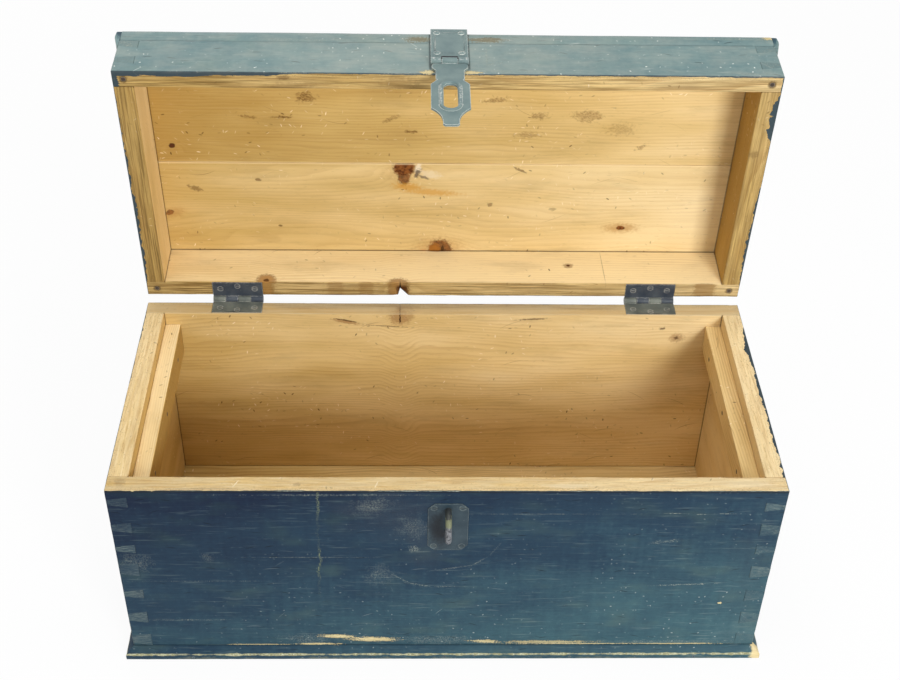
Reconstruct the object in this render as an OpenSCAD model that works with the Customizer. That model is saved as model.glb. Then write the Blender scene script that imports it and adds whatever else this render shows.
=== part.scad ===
// Carpenter's tool chest: a dovetailed pine case on a planted base moulding, with a
// framed lid on two butt hinges, tray runners inside, and a hasp that drops over a
// staple on the front. Millimetres, +X to the right, +Y to the back, +Z up. The origin
// is the middle of the underside of the base. The lid is drawn standing open.

/* [Case] */
// Outside width of the case
case_w = 680; // [480:5:900]
// Outside depth of the case, front to back
case_d = 300; // [240:5:450]
// Height of the case rim above the floor
rim_h = 256; // [225:1:400]
// Thickness of the front and back boards
side_t = 20; // [16:0.5:24]
// Thickness of the end boards
end_t = 21; // [16:0.5:26]
// Thickness of the bottom boards, which are nailed under the case
bottom_t = 12; // [8:0.5:14]
// Where the joint between the two bottom boards runs, measured from the middle
bottom_joint_y = 8; // [-30:1:30]

/* [Case dovetails] */
// Number of pins at each corner of the case
pin_n = 7; // [4:1:7]
// Width of the broad side of a middling pin
pin_w = 16.5; // [12:0.5:18]
// Flare of the pins from the square, in degrees
pin_angle = 9; // [4:1:12]
// Height of the lowest pin's middle above the bottom boards
pin_first = 13; // [11:0.5:18]
// Distance of the highest pin's middle below the rim
pin_last = 17; // [14:0.5:24]

/* [Base moulding] */
// Height of the moulding
base_h = 15; // [15:0.5:22]
// How far the moulding stands out from the case
base_out = 8; // [5:0.5:14]
// Height of the upright lower part of the moulding
base_fillet = 8; // [4:0.5:11]
// Width of the ledge left on top of the moulding
base_ledge = 1.2; // [0.5:0.1:3]

/* [Tray runners] */
// Width of a tray runner
runner_w = 17.5; // [10:0.5:25]
// Distance of the top of the runners below the rim
runner_drop = 16; // [8:0.5:40]
// Height of the left runner
runner_h_left = 40; // [20:1:60]
// Height of the right runner
runner_h_right = 33; // [20:1:60]

/* [Lid] */
// How far the lid stands open, in degrees
lid_open = 86; // [0:1:110]
// Height of the rails around the lid
lid_rail_h = 58; // [50:1:90]
// Thickness of the front and back rails
lid_side_t = 19; // [16:0.5:24]
// Thickness of the end rails
lid_end_t = 21; // [16:0.5:26]
// Thickness of the two boards on top of the lid
lid_board_t = 20; // [12:0.5:25]
// Where the joint between the two boards runs, measured from the middle
lid_joint_y = 5; // [-30:1:30]
// Height of the cleats over the ends of the lid boards
cleat_h = 35; // [30:1:40]
// Thickness of the cleats
cleat_t = 5.5; // [4:0.5:10]
// Height of the bevel that runs out under each cleat
cleat_bevel = 20; // [5:1:22]
// Width of the broad side of the pin in each of the lid's corners
lid_pin_w = 14; // [10:0.5:16]
// Height of that pin's middle above the lid's rim
lid_pin_rise = 21; // [16:0.5:22]
// Width of the broad side of the half pin under the lid boards
lid_half_pin_w = 14; // [8:0.5:16]

/* [Hinges] */
// Length of a hinge
hinge_l = 57; // [40:1:80]
// Distance from the end of the chest to the nearer end of a hinge
hinge_inset = 74.5; // [40:0.5:150]
// How far the hinge pin stands behind the case
hinge_back = 6; // [5:0.5:9]
// Thickness of a hinge leaf
hinge_leaf_t = 2.5; // [1.5:0.1:3.5]
// How far a leaf reaches in over the rim
hinge_reach = 18.5; // [14:0.5:20]
// Outside diameter of the hinge knuckles
hinge_knuckle_d = 8.2; // [7:0.1:10]
// Diameter of the hinge pin
hinge_pin_d = 4.5; // [3:0.1:5]
// Number of knuckles, shared by the two leaves
hinge_knuckles = 4; // [3:1:5]
// Distance of a leaf's middle screw from the leaf's inner edge
hinge_mid_screw = 5.25; // [4.5:0.25:6.5]

/* [Hasp] */
// Width of the fixed leaf of the hasp
hasp_leaf_w = 38.5; // [34:0.5:48]
// Thickness of the hasp's plates
hasp_t = 2.5; // [2:0.1:3.5]
// Height of the hasp's pin above the lid's rim
hasp_pin_rise = 18; // [12:0.5:30]
// How far the fixed leaf stands past the top of the lid
hasp_leaf_over = 3; // [0:0.5:6]
// Outside diameter of the hasp's knuckles
hasp_knuckle_d = 7.5; // [6.5:0.1:9]
// Diameter of the hasp's pin
hasp_pin_d = 3.5; // [2.5:0.1:4.5]
// Width of the middle knuckle, which belongs to the swinging plate
hasp_knuckle_w = 16; // [10:0.5:20]
// Width of the swinging plate at its shoulders, under the knuckles
hasp_shoulder_w = 36.5; // [32:0.5:44]
// Width of the swinging plate at its neck
hasp_neck_w = 29; // [22:0.5:32]
// Width of the swinging plate at the slot
hasp_w = 39; // [34:0.5:48]
// Width of the finger tab
hasp_tab_w = 16; // [10:0.5:24]
// Length of the tab and its taper, below the broad part of the plate
hasp_tab_l = 28; // [22:0.5:45]
// Radius of the raised bead around the slot
hasp_bead_r = 2; // [1:0.1:2.5]

/* [Staple] */
// Distance of the staple's middle below the rim
staple_drop = 43; // [35:0.5:60]
// Diameter of the staple's wire
staple_wire = 6.5; // [4:0.1:7]
// Distance between the middles of the staple's legs
staple_span = 32.5; // [24:0.5:36]
// How far the staple stands out from the case
staple_out = 25; // [22:0.5:34]
// How far the staple's legs go into the front board
staple_leg = 14; // [8:0.5:15]
// Width of the plate behind the staple
plate_w = 41; // [36:0.5:50]
// Height of the plate behind the staple
plate_h = 68; // [60:0.5:80]
// Distance of the top of the plate below the rim
plate_drop = 18; // [12:0.5:24]
// Thickness of the plate behind the staple
plate_t = 2.5; // [1.5:0.1:3.5]
// How far that plate stands proud of the front board
plate_proud = 0.5; // [0.2:0.1:0.8]

/* [Nails and screws] */
// Diameter of the nails' shanks
nail_d = 2.6; // [2:0.1:3]
// Diameter of the nails' heads
nail_head_d = 5; // [4:0.1:6]
// Length of the nails
nail_l = 32; // [26:1:34]
// Diameter of the brads' shanks
brad_d = 1.8; // [1.2:0.1:2]
// Diameter of the brads' heads
brad_head_d = 3.2; // [2.4:0.1:4]
// Length of the brads
brad_l = 19; // [16:1:22]
// Diameter of the screws' shanks
screw_d = 3.6; // [2.5:0.1:4.2]
// Diameter of the screws' heads
screw_head_d = 7.2; // [6:0.1:8]
// Length of the screws
screw_l = 15; // [12:0.5:15]
// How far the round heads on the hasp stand up
dome_h = 1.8; // [1:0.1:2.4]

/* [Clearances] */
// Gap between the rim of the closed lid and the rim of the case
lid_gap = 0.8; // [0.4:0.1:1.5]
// Gap between neighbouring knuckles, and around them
knuckle_gap = 0.5; // [0.3:0.1:0.8]
// Gap around a pin in its knuckles, on the radius
pin_gap = 0.05; // [0.03:0.01:0.08]
// Gap around a nail or screw in its hole, on the radius
fastener_gap = 0.05; // [0.02:0.01:0.1]
// Gap between a plate and the sides of the place cut for it
inlay_gap = 0.2; // [0.1:0.05:0.4]
// Gap between the closed hasp and the plate behind the staple
hasp_gap = 0.4; // [0.2:0.1:0.8]
// Gap between the staple and each end of the hasp's slot
slot_end_gap = 2.5; // [1.5:0.1:4]
// Gap between the staple and each side of the hasp's slot
slot_side_gap = 3.75; // [2:0.05:5]

/* [Hidden] */
$fn = 48;
eps = 0.5;  // how far a cutting shape runs past the face that it opens

paint = [0.22, 0.31, 0.39];
pine = [0.86, 0.70, 0.46];
pine_dark = [0.80, 0.62, 0.38];
steel = [0.33, 0.37, 0.42];
worn_steel = [0.55, 0.55, 0.52];

half_w = case_w / 2;
half_d = case_d / 2;
inner_half_w = half_w - end_t;
inner_half_d = half_d - side_t;
front_y = -half_d;

// Case dovetails: the sides were laid out by eye, so each pin wanders a little
// from an even spacing. Each entry is [how far it wanders up, how much wider it is].
wander_left = [[0, 2.5], [2, 1.5], [4, -2.5], [7, 4], [3, -4], [-1, -1.5], [0, -2.5]];
wander_right = [[0, 2.5], [0, 2.5], [1, 1.5], [3, 2.5], [2, -3], [-4, 1.5], [-6, -4]];
pin_step = (rim_h - pin_last - bottom_t - pin_first) / (pin_n - 1);
function case_pins(wander) = [for (i = [0:pin_n - 1])
    [bottom_t + pin_first + i * pin_step + wander[i][0] * pin_step / 36,
     pin_w + wander[i][1]]];
pins_left = case_pins(wander_left);
pins_right = case_pins(wander_right);

// The closed lid, the hinge axis and the hasp's pin
lid_rim_z = rim_h + lid_gap;
lid_board_z = lid_rim_z + lid_rail_h;
lid_top_z = lid_board_z + lid_board_t;
lid_pins = [[lid_rim_z + lid_pin_rise, lid_pin_w], [lid_board_z, 2 * lid_half_pin_w]];
lid_inner_half_w = half_w - lid_end_t;
lid_inner_half_d = half_d - lid_side_t;
hinge_x = half_w - hinge_inset - hinge_l / 2;
hinge_y = half_d + hinge_back;
hinge_z = rim_h + lid_gap / 2;
hinge_leaf_in = hinge_back + hinge_reach;  // from the axis to the leaf's inner edge

hasp_knuckle_r = hasp_knuckle_d / 2;
hasp_pin_y = front_y - hasp_knuckle_r;
hasp_pin_z = lid_rim_z + hasp_pin_rise;
hasp_back_y = front_y - plate_proud - hasp_gap;  // back of the swinging plate

// The staple and the hasp's slot, which drops over it
staple_z = rim_h - staple_drop;
staple_nose_r = staple_span / 2;
staple_nose_y = front_y - staple_out + staple_wire / 2 + staple_nose_r;
slot_w = staple_wire + 2 * slot_side_gap;
slot_l = staple_span + staple_wire + 2 * slot_end_gap;
plate_z = rim_h - plate_drop - plate_h / 2;

// Where the fasteners go
screw_edge = 6;  // from a plate's edge to the middle of a screw near it
hinge_screw_x = hinge_l / 2 - 9;
hinge_screws = [for (s = [-1, 1], i = [-1:1])
    [s * hinge_x + i * hinge_screw_x,
     half_d - (i == 0 ? hinge_reach - hinge_mid_screw : hinge_reach / 2)]];
hasp_screw_x = hasp_leaf_w / 2 - screw_edge - 0.5;
hasp_screw_low_z = hasp_pin_z + hasp_knuckle_r + knuckle_gap + 13;
hasp_screw_high_z = lid_top_z - screw_edge + 1;
plate_screw_x = plate_w / 2 - screw_edge;
plate_screw_z = plate_h / 2 - screw_edge;
end_mid_x = half_w - end_t / 2;
side_mid_y = half_d - side_t / 2;
base_nail_z = base_fillet / 2;
nail_inset = 40;  // from a corner to the nearest nail of a row
brad_inset = 65;  // from a corner to the nearest brad of the moulding

// ---- Shared shapes -------------------------------------------------------------

// A box given by its lowest and highest corners
module span_box(low, high) {
    translate(low) cube(high - low);
}

// Children at n even places from a to b along X or Y
module row_x(a, b, n) {
    for (i = [0:n - 1]) translate([a + (b - a) * i / (n - 1), 0, 0]) children();
}

module row_y(a, b, n) {
    for (i = [0:n - 1]) translate([0, a + (b - a) * i / (n - 1), 0]) children();
}

// A nail pointing down from the origin, or the hole for it
module nail(d, head_d, l, gap = 0) {
    head_t = 1;
    translate([0, 0, -l]) cylinder(d = d + 2 * gap, h = l);
    translate([0, 0, -head_t]) cylinder(d = head_d + 2 * gap, h = head_t + (gap > 0 ? eps : 0));
}

module wire_nail(gap = 0) {
    nail(nail_d, nail_head_d, nail_l, gap);
}

module brad(gap = 0) {
    nail(brad_d, brad_head_d, brad_l, gap);
}

// A countersunk wood screw pointing down from the origin
module screw() {
    head_h = (screw_head_d - screw_d) / 2;
    difference() {
        union() {
            translate([0, 0, -screw_l]) cylinder(d = screw_d, h = screw_l);
            translate([0, 0, -head_h]) cylinder(d1 = screw_d, d2 = screw_head_d, h = head_h);
        }
        span_box([-screw_head_d, -0.5, -0.9], [screw_head_d, 0.5, eps]);
    }
}

module screw_hole() {
    head_h = (screw_head_d - screw_d) / 2;
    g = fastener_gap;
    translate([0, 0, -screw_l]) cylinder(d = screw_d + 2 * g, h = screw_l + eps);
    translate([0, 0, -head_h])
        cylinder(d1 = screw_d + 2 * g, d2 = screw_head_d + 2 * g, h = head_h);
    cylinder(d = screw_head_d + 2 * g, h = eps);
}

// The pins of one corner joint, on the left (side = -1) or the right (side = 1).
// Each is broad at the end board's inner face and narrow at its outer face.
module pins(side, list, t, y0, y1) {
    flare = t * tan(pin_angle);
    for (p = list) {
        translate([0, y1, p[0]]) rotate([90, 0, 0])
            linear_extrude(y1 - y0)
                polygon([[side * (half_w - t), -p[1] / 2], [side * half_w, -p[1] / 2 + flare],
                         [side * half_w, p[1] / 2 - flare], [side * (half_w - t), p[1] / 2]]);
    }
}

// ---- Case ----------------------------------------------------------------------

// Where the case's nails, brads and screws go; children point down in their own frame
module at_bottom_nails() {
    for (s = [-1, 1]) {
        translate([0, s * side_mid_y, 0])
            row_x(-half_w + nail_inset, half_w - nail_inset, 6) rotate([180, 0, 0]) children();
        translate([s * end_mid_x, 0, 0])
            row_y(-half_d + 2 * nail_inset, half_d - 2 * nail_inset, 3)
                rotate([180, 0, 0]) children();
    }
}

module at_moulding_brads() {
    for (s = [-1, 1]) {
        translate([0, s * (half_d + base_out), base_nail_z])
            row_x(-half_w + brad_inset, half_w - brad_inset, 5)
                rotate([-s * 90, 0, 0]) children();
        translate([s * (half_w + base_out), 0, base_nail_z])
            row_y(-half_d + brad_inset, half_d - brad_inset, 2)
                rotate([0, s * 90, 0]) children();
    }
}

module at_runner_nails() {
    for (s = [-1, 1]) {
        h = s < 0 ? runner_h_left : runner_h_right;
        translate([s * (inner_half_w - runner_w), 0, rim_h - runner_drop - h / 2])
            row_y(-inner_half_d + nail_inset, inner_half_d - nail_inset, 3)
                rotate([0, -s * 90, 0]) children();
    }
}

module at_hinge_case_screws() {
    for (p = hinge_screws) translate([p[0], p[1], rim_h]) children();
}

module at_plate_screws() {
    for (sx = [-1, 1], sz = [-1, 1])
        translate([sx * plate_screw_x, front_y - plate_proud, plate_z + sz * plate_screw_z])
            rotate([90, 0, 0]) children();
}

// The places cut into the rim and into the lid for the hinge leaves
module hinge_seats(z0, z1) {
    for (s = [-1, 1])
        span_box([s * hinge_x - hinge_l / 2 - inlay_gap, half_d - hinge_reach - inlay_gap, z0],
                 [s * hinge_x + hinge_l / 2 + inlay_gap, half_d + eps, z1]);
}

module long_board(y0, y1) {
    difference() {
        span_box([-half_w, y0, bottom_t], [half_w, y1, rim_h]);
        pins(-1, pins_left, end_t, y0 - eps, y1 + eps);
        pins(1, pins_right, end_t, y0 - eps, y1 + eps);
        at_bottom_nails() wire_nail(fastener_gap);
    }
}

module front_board() {
    color(paint) difference() {
        long_board(-half_d, -inner_half_d);
        staple_plate_blank(inlay_gap, eps);
        staple_legs(fastener_gap);
        at_plate_screws() screw_hole();
    }
}

module back_board() {
    color(paint) difference() {
        long_board(inner_half_d, half_d);
        hinge_seats(rim_h - hinge_leaf_t, rim_h + eps);
        at_hinge_case_screws() screw_hole();
    }
}

module end_board(side, list) {
    color(paint) difference() {
        union() {
            span_box([side < 0 ? -half_w : inner_half_w, -inner_half_d, bottom_t],
                     [side < 0 ? -inner_half_w : half_w, inner_half_d, rim_h]);
            pins(side, list, end_t, -half_d, half_d);
        }
        at_bottom_nails() wire_nail(fastener_gap);
        at_runner_nails() wire_nail(fastener_gap);
    }
}

module left_end_board() {
    end_board(-1, pins_left);
}

module right_end_board() {
    end_board(1, pins_right);
}

module bottom_board(y0, y1) {
    color(pine_dark) difference() {
        span_box([-half_w, y0, 0], [half_w, y1, bottom_t]);
        at_bottom_nails() wire_nail(fastener_gap);
        at_moulding_brads() brad(fastener_gap);
    }
}

module bottom_board_front() {
    bottom_board(-half_d, bottom_joint_y);
}

module bottom_board_back() {
    bottom_board(bottom_joint_y, half_d);
}

module bottom_nails() {
    color(steel) at_bottom_nails() wire_nail();
}

// Half of the base moulding's section: how far out, and how high
base_section = [[0, 0], [base_out, 0], [base_out, base_fillet], [base_ledge, base_h], [0, base_h]];

// A length of moulding along X, against a face at y = 0, mitred outwards at both ends
module moulding(l) {
    difference() {
        translate([-l / 2 - base_out, 0, 0]) rotate([90, 0, 90])
            linear_extrude(l + 2 * base_out) polygon(base_section);
        for (s = [-1, 1])
            translate([s * l / 2, 0, -eps]) rotate([0, 0, s > 0 ? 45 : 135])
                translate([0, s > 0 ? -4 * base_out : 0, 0])
                    cube([4 * base_out, 4 * base_out, base_h + 2 * eps]);
    }
}

// The moulding on one side of the case: 0 at the back, then anticlockwise from above
module base_moulding(turn) {
    along_x = turn % 2 == 0;
    color(paint) difference() {
        rotate([0, 0, 90 * turn])
            translate([0, along_x ? half_d : half_w, 0]) moulding(along_x ? case_w : case_d);
        at_moulding_brads() brad(fastener_gap);
    }
}

module base_moulding_back() {
    base_moulding(0);
}

module base_moulding_left() {
    base_moulding(1);
}

module base_moulding_front() {
    base_moulding(2);
}

module base_moulding_right() {
    base_moulding(3);
}

module base_moulding_brads() {
    color(steel) at_moulding_brads() brad();
}

module tray_runner(side, h) {
    top = rim_h - runner_drop;
    color(pine) difference() {
        span_box([side < 0 ? -inner_half_w : inner_half_w - runner_w, -inner_half_d, top - h],
                 [side < 0 ? -inner_half_w + runner_w : inner_half_w, inner_half_d, top]);
        at_runner_nails() wire_nail(fastener_gap);
    }
}

module left_tray_runner() {
    tray_runner(-1, runner_h_left);
}

module right_tray_runner() {
    tray_runner(1, runner_h_right);
}

module runner_nails() {
    color(steel) at_runner_nails() wire_nail();
}

// ---- Hinges --------------------------------------------------------------------

// One leaf of a hinge, with the pin's axis along X through the origin. Up is 1 for
// the leaf on the lid and -1 for the leaf on the case; they take turns at knuckles.
module hinge_leaf(up) {
    r = hinge_knuckle_d / 2;
    near = lid_gap / 2;
    z0 = up > 0 ? near : -near - hinge_leaf_t;
    step = hinge_l / hinge_knuckles;
    difference() {
        union() {
            span_box([-hinge_l / 2, -hinge_leaf_in, z0],
                     [hinge_l / 2, -r - knuckle_gap, z0 + hinge_leaf_t]);
            for (i = [0:hinge_knuckles - 1]) if ((i % 2 == 1) == (up > 0)) {
                x0 = -hinge_l / 2 + i * step + (i > 0 ? knuckle_gap / 2 : 0);
                x1 = -hinge_l / 2 + (i + 1) * step - (i < hinge_knuckles - 1 ? knuckle_gap / 2 : 0);
                span_box([x0, -r - knuckle_gap - eps, z0], [x1, 0, z0 + hinge_leaf_t]);
                translate([x0, 0, 0]) rotate([0, 90, 0]) cylinder(r = r, h = x1 - x0);
            }
        }
        translate([-hinge_l, 0, 0]) rotate([0, 90, 0])
            cylinder(d = hinge_pin_d + 2 * pin_gap, h = 2 * hinge_l);
    }
}

module hinge_pin(side) {
    color(worn_steel) translate([side * hinge_x - hinge_l / 2, hinge_y, hinge_z])
        rotate([0, 90, 0]) cylinder(d = hinge_pin_d, h = hinge_l);
}

module hinge_case_leaf(side) {
    color(steel) difference() {
        translate([side * hinge_x, hinge_y, hinge_z]) hinge_leaf(-1);
        at_hinge_case_screws() screw_hole();
    }
}

module left_hinge_case_leaf() {
    hinge_case_leaf(-1);
}

module right_hinge_case_leaf() {
    hinge_case_leaf(1);
}

module left_hinge_pin() {
    hinge_pin(-1);
}

module right_hinge_pin() {
    hinge_pin(1);
}

module hinge_case_screws() {
    color(worn_steel) at_hinge_case_screws() screw();
}

// ---- Staple --------------------------------------------------------------------

module staple_plate_blank(grow, past) {
    cut = 7;  // how much of each corner is cut off
    w = plate_w / 2 + grow;
    h = plate_h / 2 + grow;
    translate([0, front_y + plate_t - plate_proud, plate_z]) rotate([90, 0, 0])
        linear_extrude(plate_t + past)
            polygon([[-w, -h + cut], [-w + cut, -h], [w - cut, -h], [w, -h + cut],
                     [w, h - cut], [w - cut, h], [-w + cut, h], [-w, h - cut]]);
}

module staple_legs(gap = 0) {
    for (s = [-1, 1])
        translate([0, front_y + staple_leg, staple_z + s * staple_nose_r]) rotate([90, 0, 0])
            cylinder(d = staple_wire + 2 * gap, h = front_y + staple_leg - staple_nose_y);
}

module staple_plate() {
    color(paint) difference() {
        staple_plate_blank(0, 0);
        staple_legs(fastener_gap);
        at_plate_screws() screw_hole();
    }
}

module staple() {
    color(worn_steel) {
        staple_legs();
        translate([0, staple_nose_y, staple_z]) rotate([90, 0, -90])
            rotate([0, 0, -90]) rotate_extrude(angle = 180)
                translate([staple_nose_r, 0]) circle(d = staple_wire);
    }
}

module staple_plate_screws() {
    color(steel) at_plate_screws() screw();
}

// ---- Lid -----------------------------------------------------------------------

// Children drawn for the closed lid, swung open about the hinge pins
module opened() {
    translate([0, hinge_y, hinge_z]) rotate([-lid_open, 0, 0])
        translate([0, -hinge_y, -hinge_z]) children();
}

module at_corner_nails() {
    for (sx = [-1, 1], sy = [-1, 1])
        translate([sx * (half_w - lid_end_t / 2 - 1), sy * (half_d - lid_side_t / 2), lid_rim_z])
            rotate([180, 0, 0]) children();
}

module at_board_nails() {
    for (s = [-1, 1]) {
        translate([0, s * (half_d - lid_side_t / 2), lid_top_z])
            row_x(-half_w + nail_inset, half_w - nail_inset, 6) children();
        translate([s * (half_w - lid_end_t / 2), 0, lid_top_z])
            row_y(-half_d + 2 * nail_inset, half_d - 2 * nail_inset, 4) children();
    }
}

module at_cleat_brads() {
    for (s = [-1, 1])
        translate([s * (half_w + cleat_t), 0, lid_top_z - (cleat_h - cleat_bevel) / 2])
            row_y(-half_d + brad_inset, half_d - brad_inset, 3) rotate([0, s * 90, 0]) children();
}

module at_hinge_lid_screws() {
    for (p = hinge_screws) translate([p[0], p[1], lid_rim_z]) rotate([180, 0, 0]) children();
}

module at_hasp_screws() {
    for (sx = [-1, 1], z = [hasp_screw_low_z, hasp_screw_high_z])
        translate([sx * hasp_screw_x, front_y - hasp_t, z]) rotate([90, 0, 0]) children();
}

module lid_rail(y0, y1) {
    difference() {
        span_box([-half_w, y0, lid_rim_z], [half_w, y1, lid_board_z]);
        for (s = [-1, 1]) pins(s, lid_pins, lid_end_t, y0 - eps, y1 + eps);
        at_corner_nails() wire_nail(fastener_gap);
        at_board_nails() wire_nail(fastener_gap);
    }
}

module lid_front_rail() {
    color(paint) opened() difference() {
        lid_rail(-half_d, -lid_inner_half_d);
        at_hasp_screws() round_screw_hole();
    }
}

module lid_back_rail() {
    color(paint) opened() difference() {
        lid_rail(lid_inner_half_d, half_d);
        hinge_seats(lid_rim_z - eps, lid_rim_z + hinge_leaf_t);
        at_hinge_lid_screws() screw_hole();
    }
}

module lid_end_rail(side) {
    color(paint) opened() difference() {
        union() {
            span_box([side < 0 ? -half_w : lid_inner_half_w, -lid_inner_half_d, lid_rim_z],
                     [side < 0 ? -lid_inner_half_w : half_w, lid_inner_half_d, lid_board_z]);
            intersection() {
                pins(side, lid_pins, lid_end_t, -half_d, half_d);
                span_box([-half_w, -half_d, lid_rim_z], [half_w, half_d, lid_board_z]);
            }
        }
        at_corner_nails() wire_nail(fastener_gap);
        at_board_nails() wire_nail(fastener_gap);
    }
}

module lid_left_rail() {
    lid_end_rail(-1);
}

module lid_right_rail() {
    lid_end_rail(1);
}

module lid_board(y0, y1) {
    difference() {
        span_box([-half_w, y0, lid_board_z], [half_w, y1, lid_top_z]);
        at_board_nails() wire_nail(fastener_gap);
        at_cleat_brads() brad(fastener_gap);
    }
}

module lid_board_front() {
    color(paint) opened() difference() {
        lid_board(-half_d, lid_joint_y);
        at_hasp_screws() round_screw_hole();
    }
}

module lid_board_back() {
    color(paint) opened() lid_board(lid_joint_y, half_d);
}

module lid_board_nails() {
    color(steel) opened() at_board_nails() wire_nail();
}

module lid_corner_nails() {
    color(steel) opened() at_corner_nails() wire_nail();
}

module lid_cleat(side) {
    color(paint) opened() difference() {
        translate([side * half_w, half_d, lid_top_z - cleat_h]) rotate([90, 0, 0])
            linear_extrude(case_d)
                polygon([[0, 0], [side * cleat_t, cleat_bevel], [side * cleat_t, cleat_h],
                         [0, cleat_h]]);
        at_cleat_brads() brad(fastener_gap);
    }
}

module lid_left_cleat() {
    lid_cleat(-1);
}

module lid_right_cleat() {
    lid_cleat(1);
}

module lid_cleat_brads() {
    color(steel) opened() at_cleat_brads() brad();
}

module hinge_lid_leaf(side) {
    color(steel) opened() difference() {
        translate([side * hinge_x, hinge_y, hinge_z]) hinge_leaf(1);
        at_hinge_lid_screws() screw_hole();
    }
}

module left_hinge_lid_leaf() {
    hinge_lid_leaf(-1);
}

module right_hinge_lid_leaf() {
    hinge_lid_leaf(1);
}

module hinge_lid_screws() {
    color(worn_steel) opened() at_hinge_lid_screws() screw();
}

// ---- Hasp ----------------------------------------------------------------------

// A round-headed screw whose head stands on a plate at the origin
module round_screw() {
    head_r = screw_head_d / 2;
    ball_r = (head_r * head_r + dome_h * dome_h) / (2 * dome_h);
    translate([0, 0, -screw_l]) cylinder(d = screw_d, h = screw_l);
    difference() {
        intersection() {
            translate([0, 0, dome_h - ball_r]) sphere(r = ball_r);
            cylinder(r = head_r + 1, h = dome_h + 1);
        }
        span_box([-screw_head_d, -0.5, dome_h - 0.9], [screw_head_d, 0.5, dome_h + eps]);
    }
}

module round_screw_hole() {
    translate([0, 0, -screw_l]) cylinder(d = screw_d + 2 * fastener_gap, h = screw_l + eps);
}

// Knuckles of the hasp from x0 to x1, with the strap that joins them to their plate.
// The plate's back is at y0, and it lies above (up = 1) or below the pin.
module hasp_knuckle(x0, x1, y0, up) {
    reach = hasp_knuckle_r + knuckle_gap + eps;
    translate([x0, hasp_pin_y, hasp_pin_z]) rotate([0, 90, 0])
        cylinder(r = hasp_knuckle_r, h = x1 - x0);
    span_box([x0, y0 - hasp_t, hasp_pin_z + (up > 0 ? 0 : -reach)],
             [x1, y0, hasp_pin_z + (up > 0 ? reach : 0)]);
}

module hasp_bore() {
    translate([-hasp_w, hasp_pin_y, hasp_pin_z]) rotate([0, 90, 0])
        cylinder(d = hasp_pin_d + 2 * pin_gap, h = 2 * hasp_w);
}

module hasp_fixed_leaf() {
    half = hasp_leaf_w / 2;
    notch = hasp_knuckle_w / 2 + knuckle_gap;
    bottom = hasp_pin_z + hasp_knuckle_r + knuckle_gap;
    color(steel) opened() difference() {
        union() {
            span_box([-half, front_y - hasp_t, bottom],
                     [half, front_y, lid_top_z + hasp_leaf_over]);
            for (s = [-1, 1])
                hasp_knuckle(min(s * notch, s * half), max(s * notch, s * half), front_y, 1);
        }
        hasp_bore();
        at_hasp_screws() round_screw_hole();
    }
}

module hasp_leaf_screws() {
    color(steel) opened() at_hasp_screws() round_screw();
}

module hasp_pin() {
    color(worn_steel) opened() translate([-hasp_leaf_w / 2, hasp_pin_y, hasp_pin_z])
        rotate([0, 90, 0]) cylinder(d = hasp_pin_d, h = hasp_leaf_w);
}

// Distances down the swinging plate from the pin
swing_top = hasp_knuckle_r + knuckle_gap;
swing_shoulder = swing_top + 7.5;
swing_neck = swing_shoulder + 4;
swing_slot = hasp_pin_z - staple_z;
swing_broad = swing_slot - slot_l / 2 - 6.5;
swing_full = swing_broad + 7.5;
swing_taper = swing_slot + slot_l / 2 - 1.5;
swing_tip = swing_taper + hasp_tab_l;
tip_round = 5;  // the straight end of the tab, below the taper

// Outline of the swinging plate, across and up from the pin
module swing_outline() {
    a = (hasp_w - hasp_tab_w) / 2;
    b = hasp_tab_l - tip_round;
    taper_r = (a * a + b * b) / (2 * a);
    half = [for (p = [[hasp_shoulder_w / 2 - 2, swing_top], [hasp_shoulder_w / 2, swing_top + 2],
                      [hasp_shoulder_w / 2, swing_shoulder], [hasp_neck_w / 2, swing_neck],
                      [hasp_neck_w / 2, swing_broad - 1.5], [hasp_neck_w / 2 - 1.5, swing_broad],
                      [hasp_w / 2, swing_full], [hasp_w / 2, swing_taper],
                      [hasp_w / 2, swing_tip - tip_round], [hasp_tab_w / 2, swing_tip - 2],
                      [hasp_tab_w / 2 - 2, swing_tip]]) [p[0], -p[1]]];
    difference() {
        polygon(concat(half, [for (i = [len(half) - 1:-1:0]) [-half[i][0], half[i][1]]]));
        for (s = [-1, 1])
            translate([s * (hasp_tab_w / 2 + taper_r), -swing_taper - b]) circle(r = taper_r);
    }
}

// A stadium of the slot's length and width, each grown by the same amount
module slot_outline(grow) {
    r = slot_w / 2 + grow;
    straight = (slot_l - slot_w) / 2;
    square([2 * r, 2 * straight], center = true);
    for (s = [-1, 1]) translate([0, s * straight]) circle(r = r);
}

// The half-round bead, drawn flat around the slot
module slot_bead() {
    r = slot_w / 2 + hasp_bead_r + 0.2;
    straight = (slot_l - slot_w) / 2;
    for (s = [-1, 1]) {
        translate([s * r, straight, 0]) rotate([90, 0, 0])
            cylinder(r = hasp_bead_r, h = 2 * straight);
        translate([0, s * straight, 0]) rotate([0, 0, s > 0 ? 0 : 180])
            rotate_extrude(angle = 180) translate([r, 0]) circle(r = hasp_bead_r);
    }
}

module hasp_swing_plate() {
    front = hasp_back_y - hasp_t;
    color(worn_steel) opened() difference() {
        union() {
            hasp_knuckle(-hasp_knuckle_w / 2, hasp_knuckle_w / 2, hasp_back_y, -1);
            translate([0, hasp_back_y, hasp_pin_z]) rotate([90, 0, 0])
                linear_extrude(hasp_t) swing_outline();
            difference() {
                translate([0, front, hasp_pin_z - swing_slot]) rotate([90, 0, 0]) slot_bead();
                span_box([-hasp_w, hasp_back_y - hasp_t / 2, 0],
                         [hasp_w, hasp_back_y + 2 * hasp_bead_r, lid_top_z]);
            }
        }
        translate([0, hasp_back_y + eps, hasp_pin_z - swing_slot]) rotate([90, 0, 0])
            linear_extrude(hasp_t + hasp_bead_r + 2 * eps) slot_outline(0);
        hasp_bore();
    }
}

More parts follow.
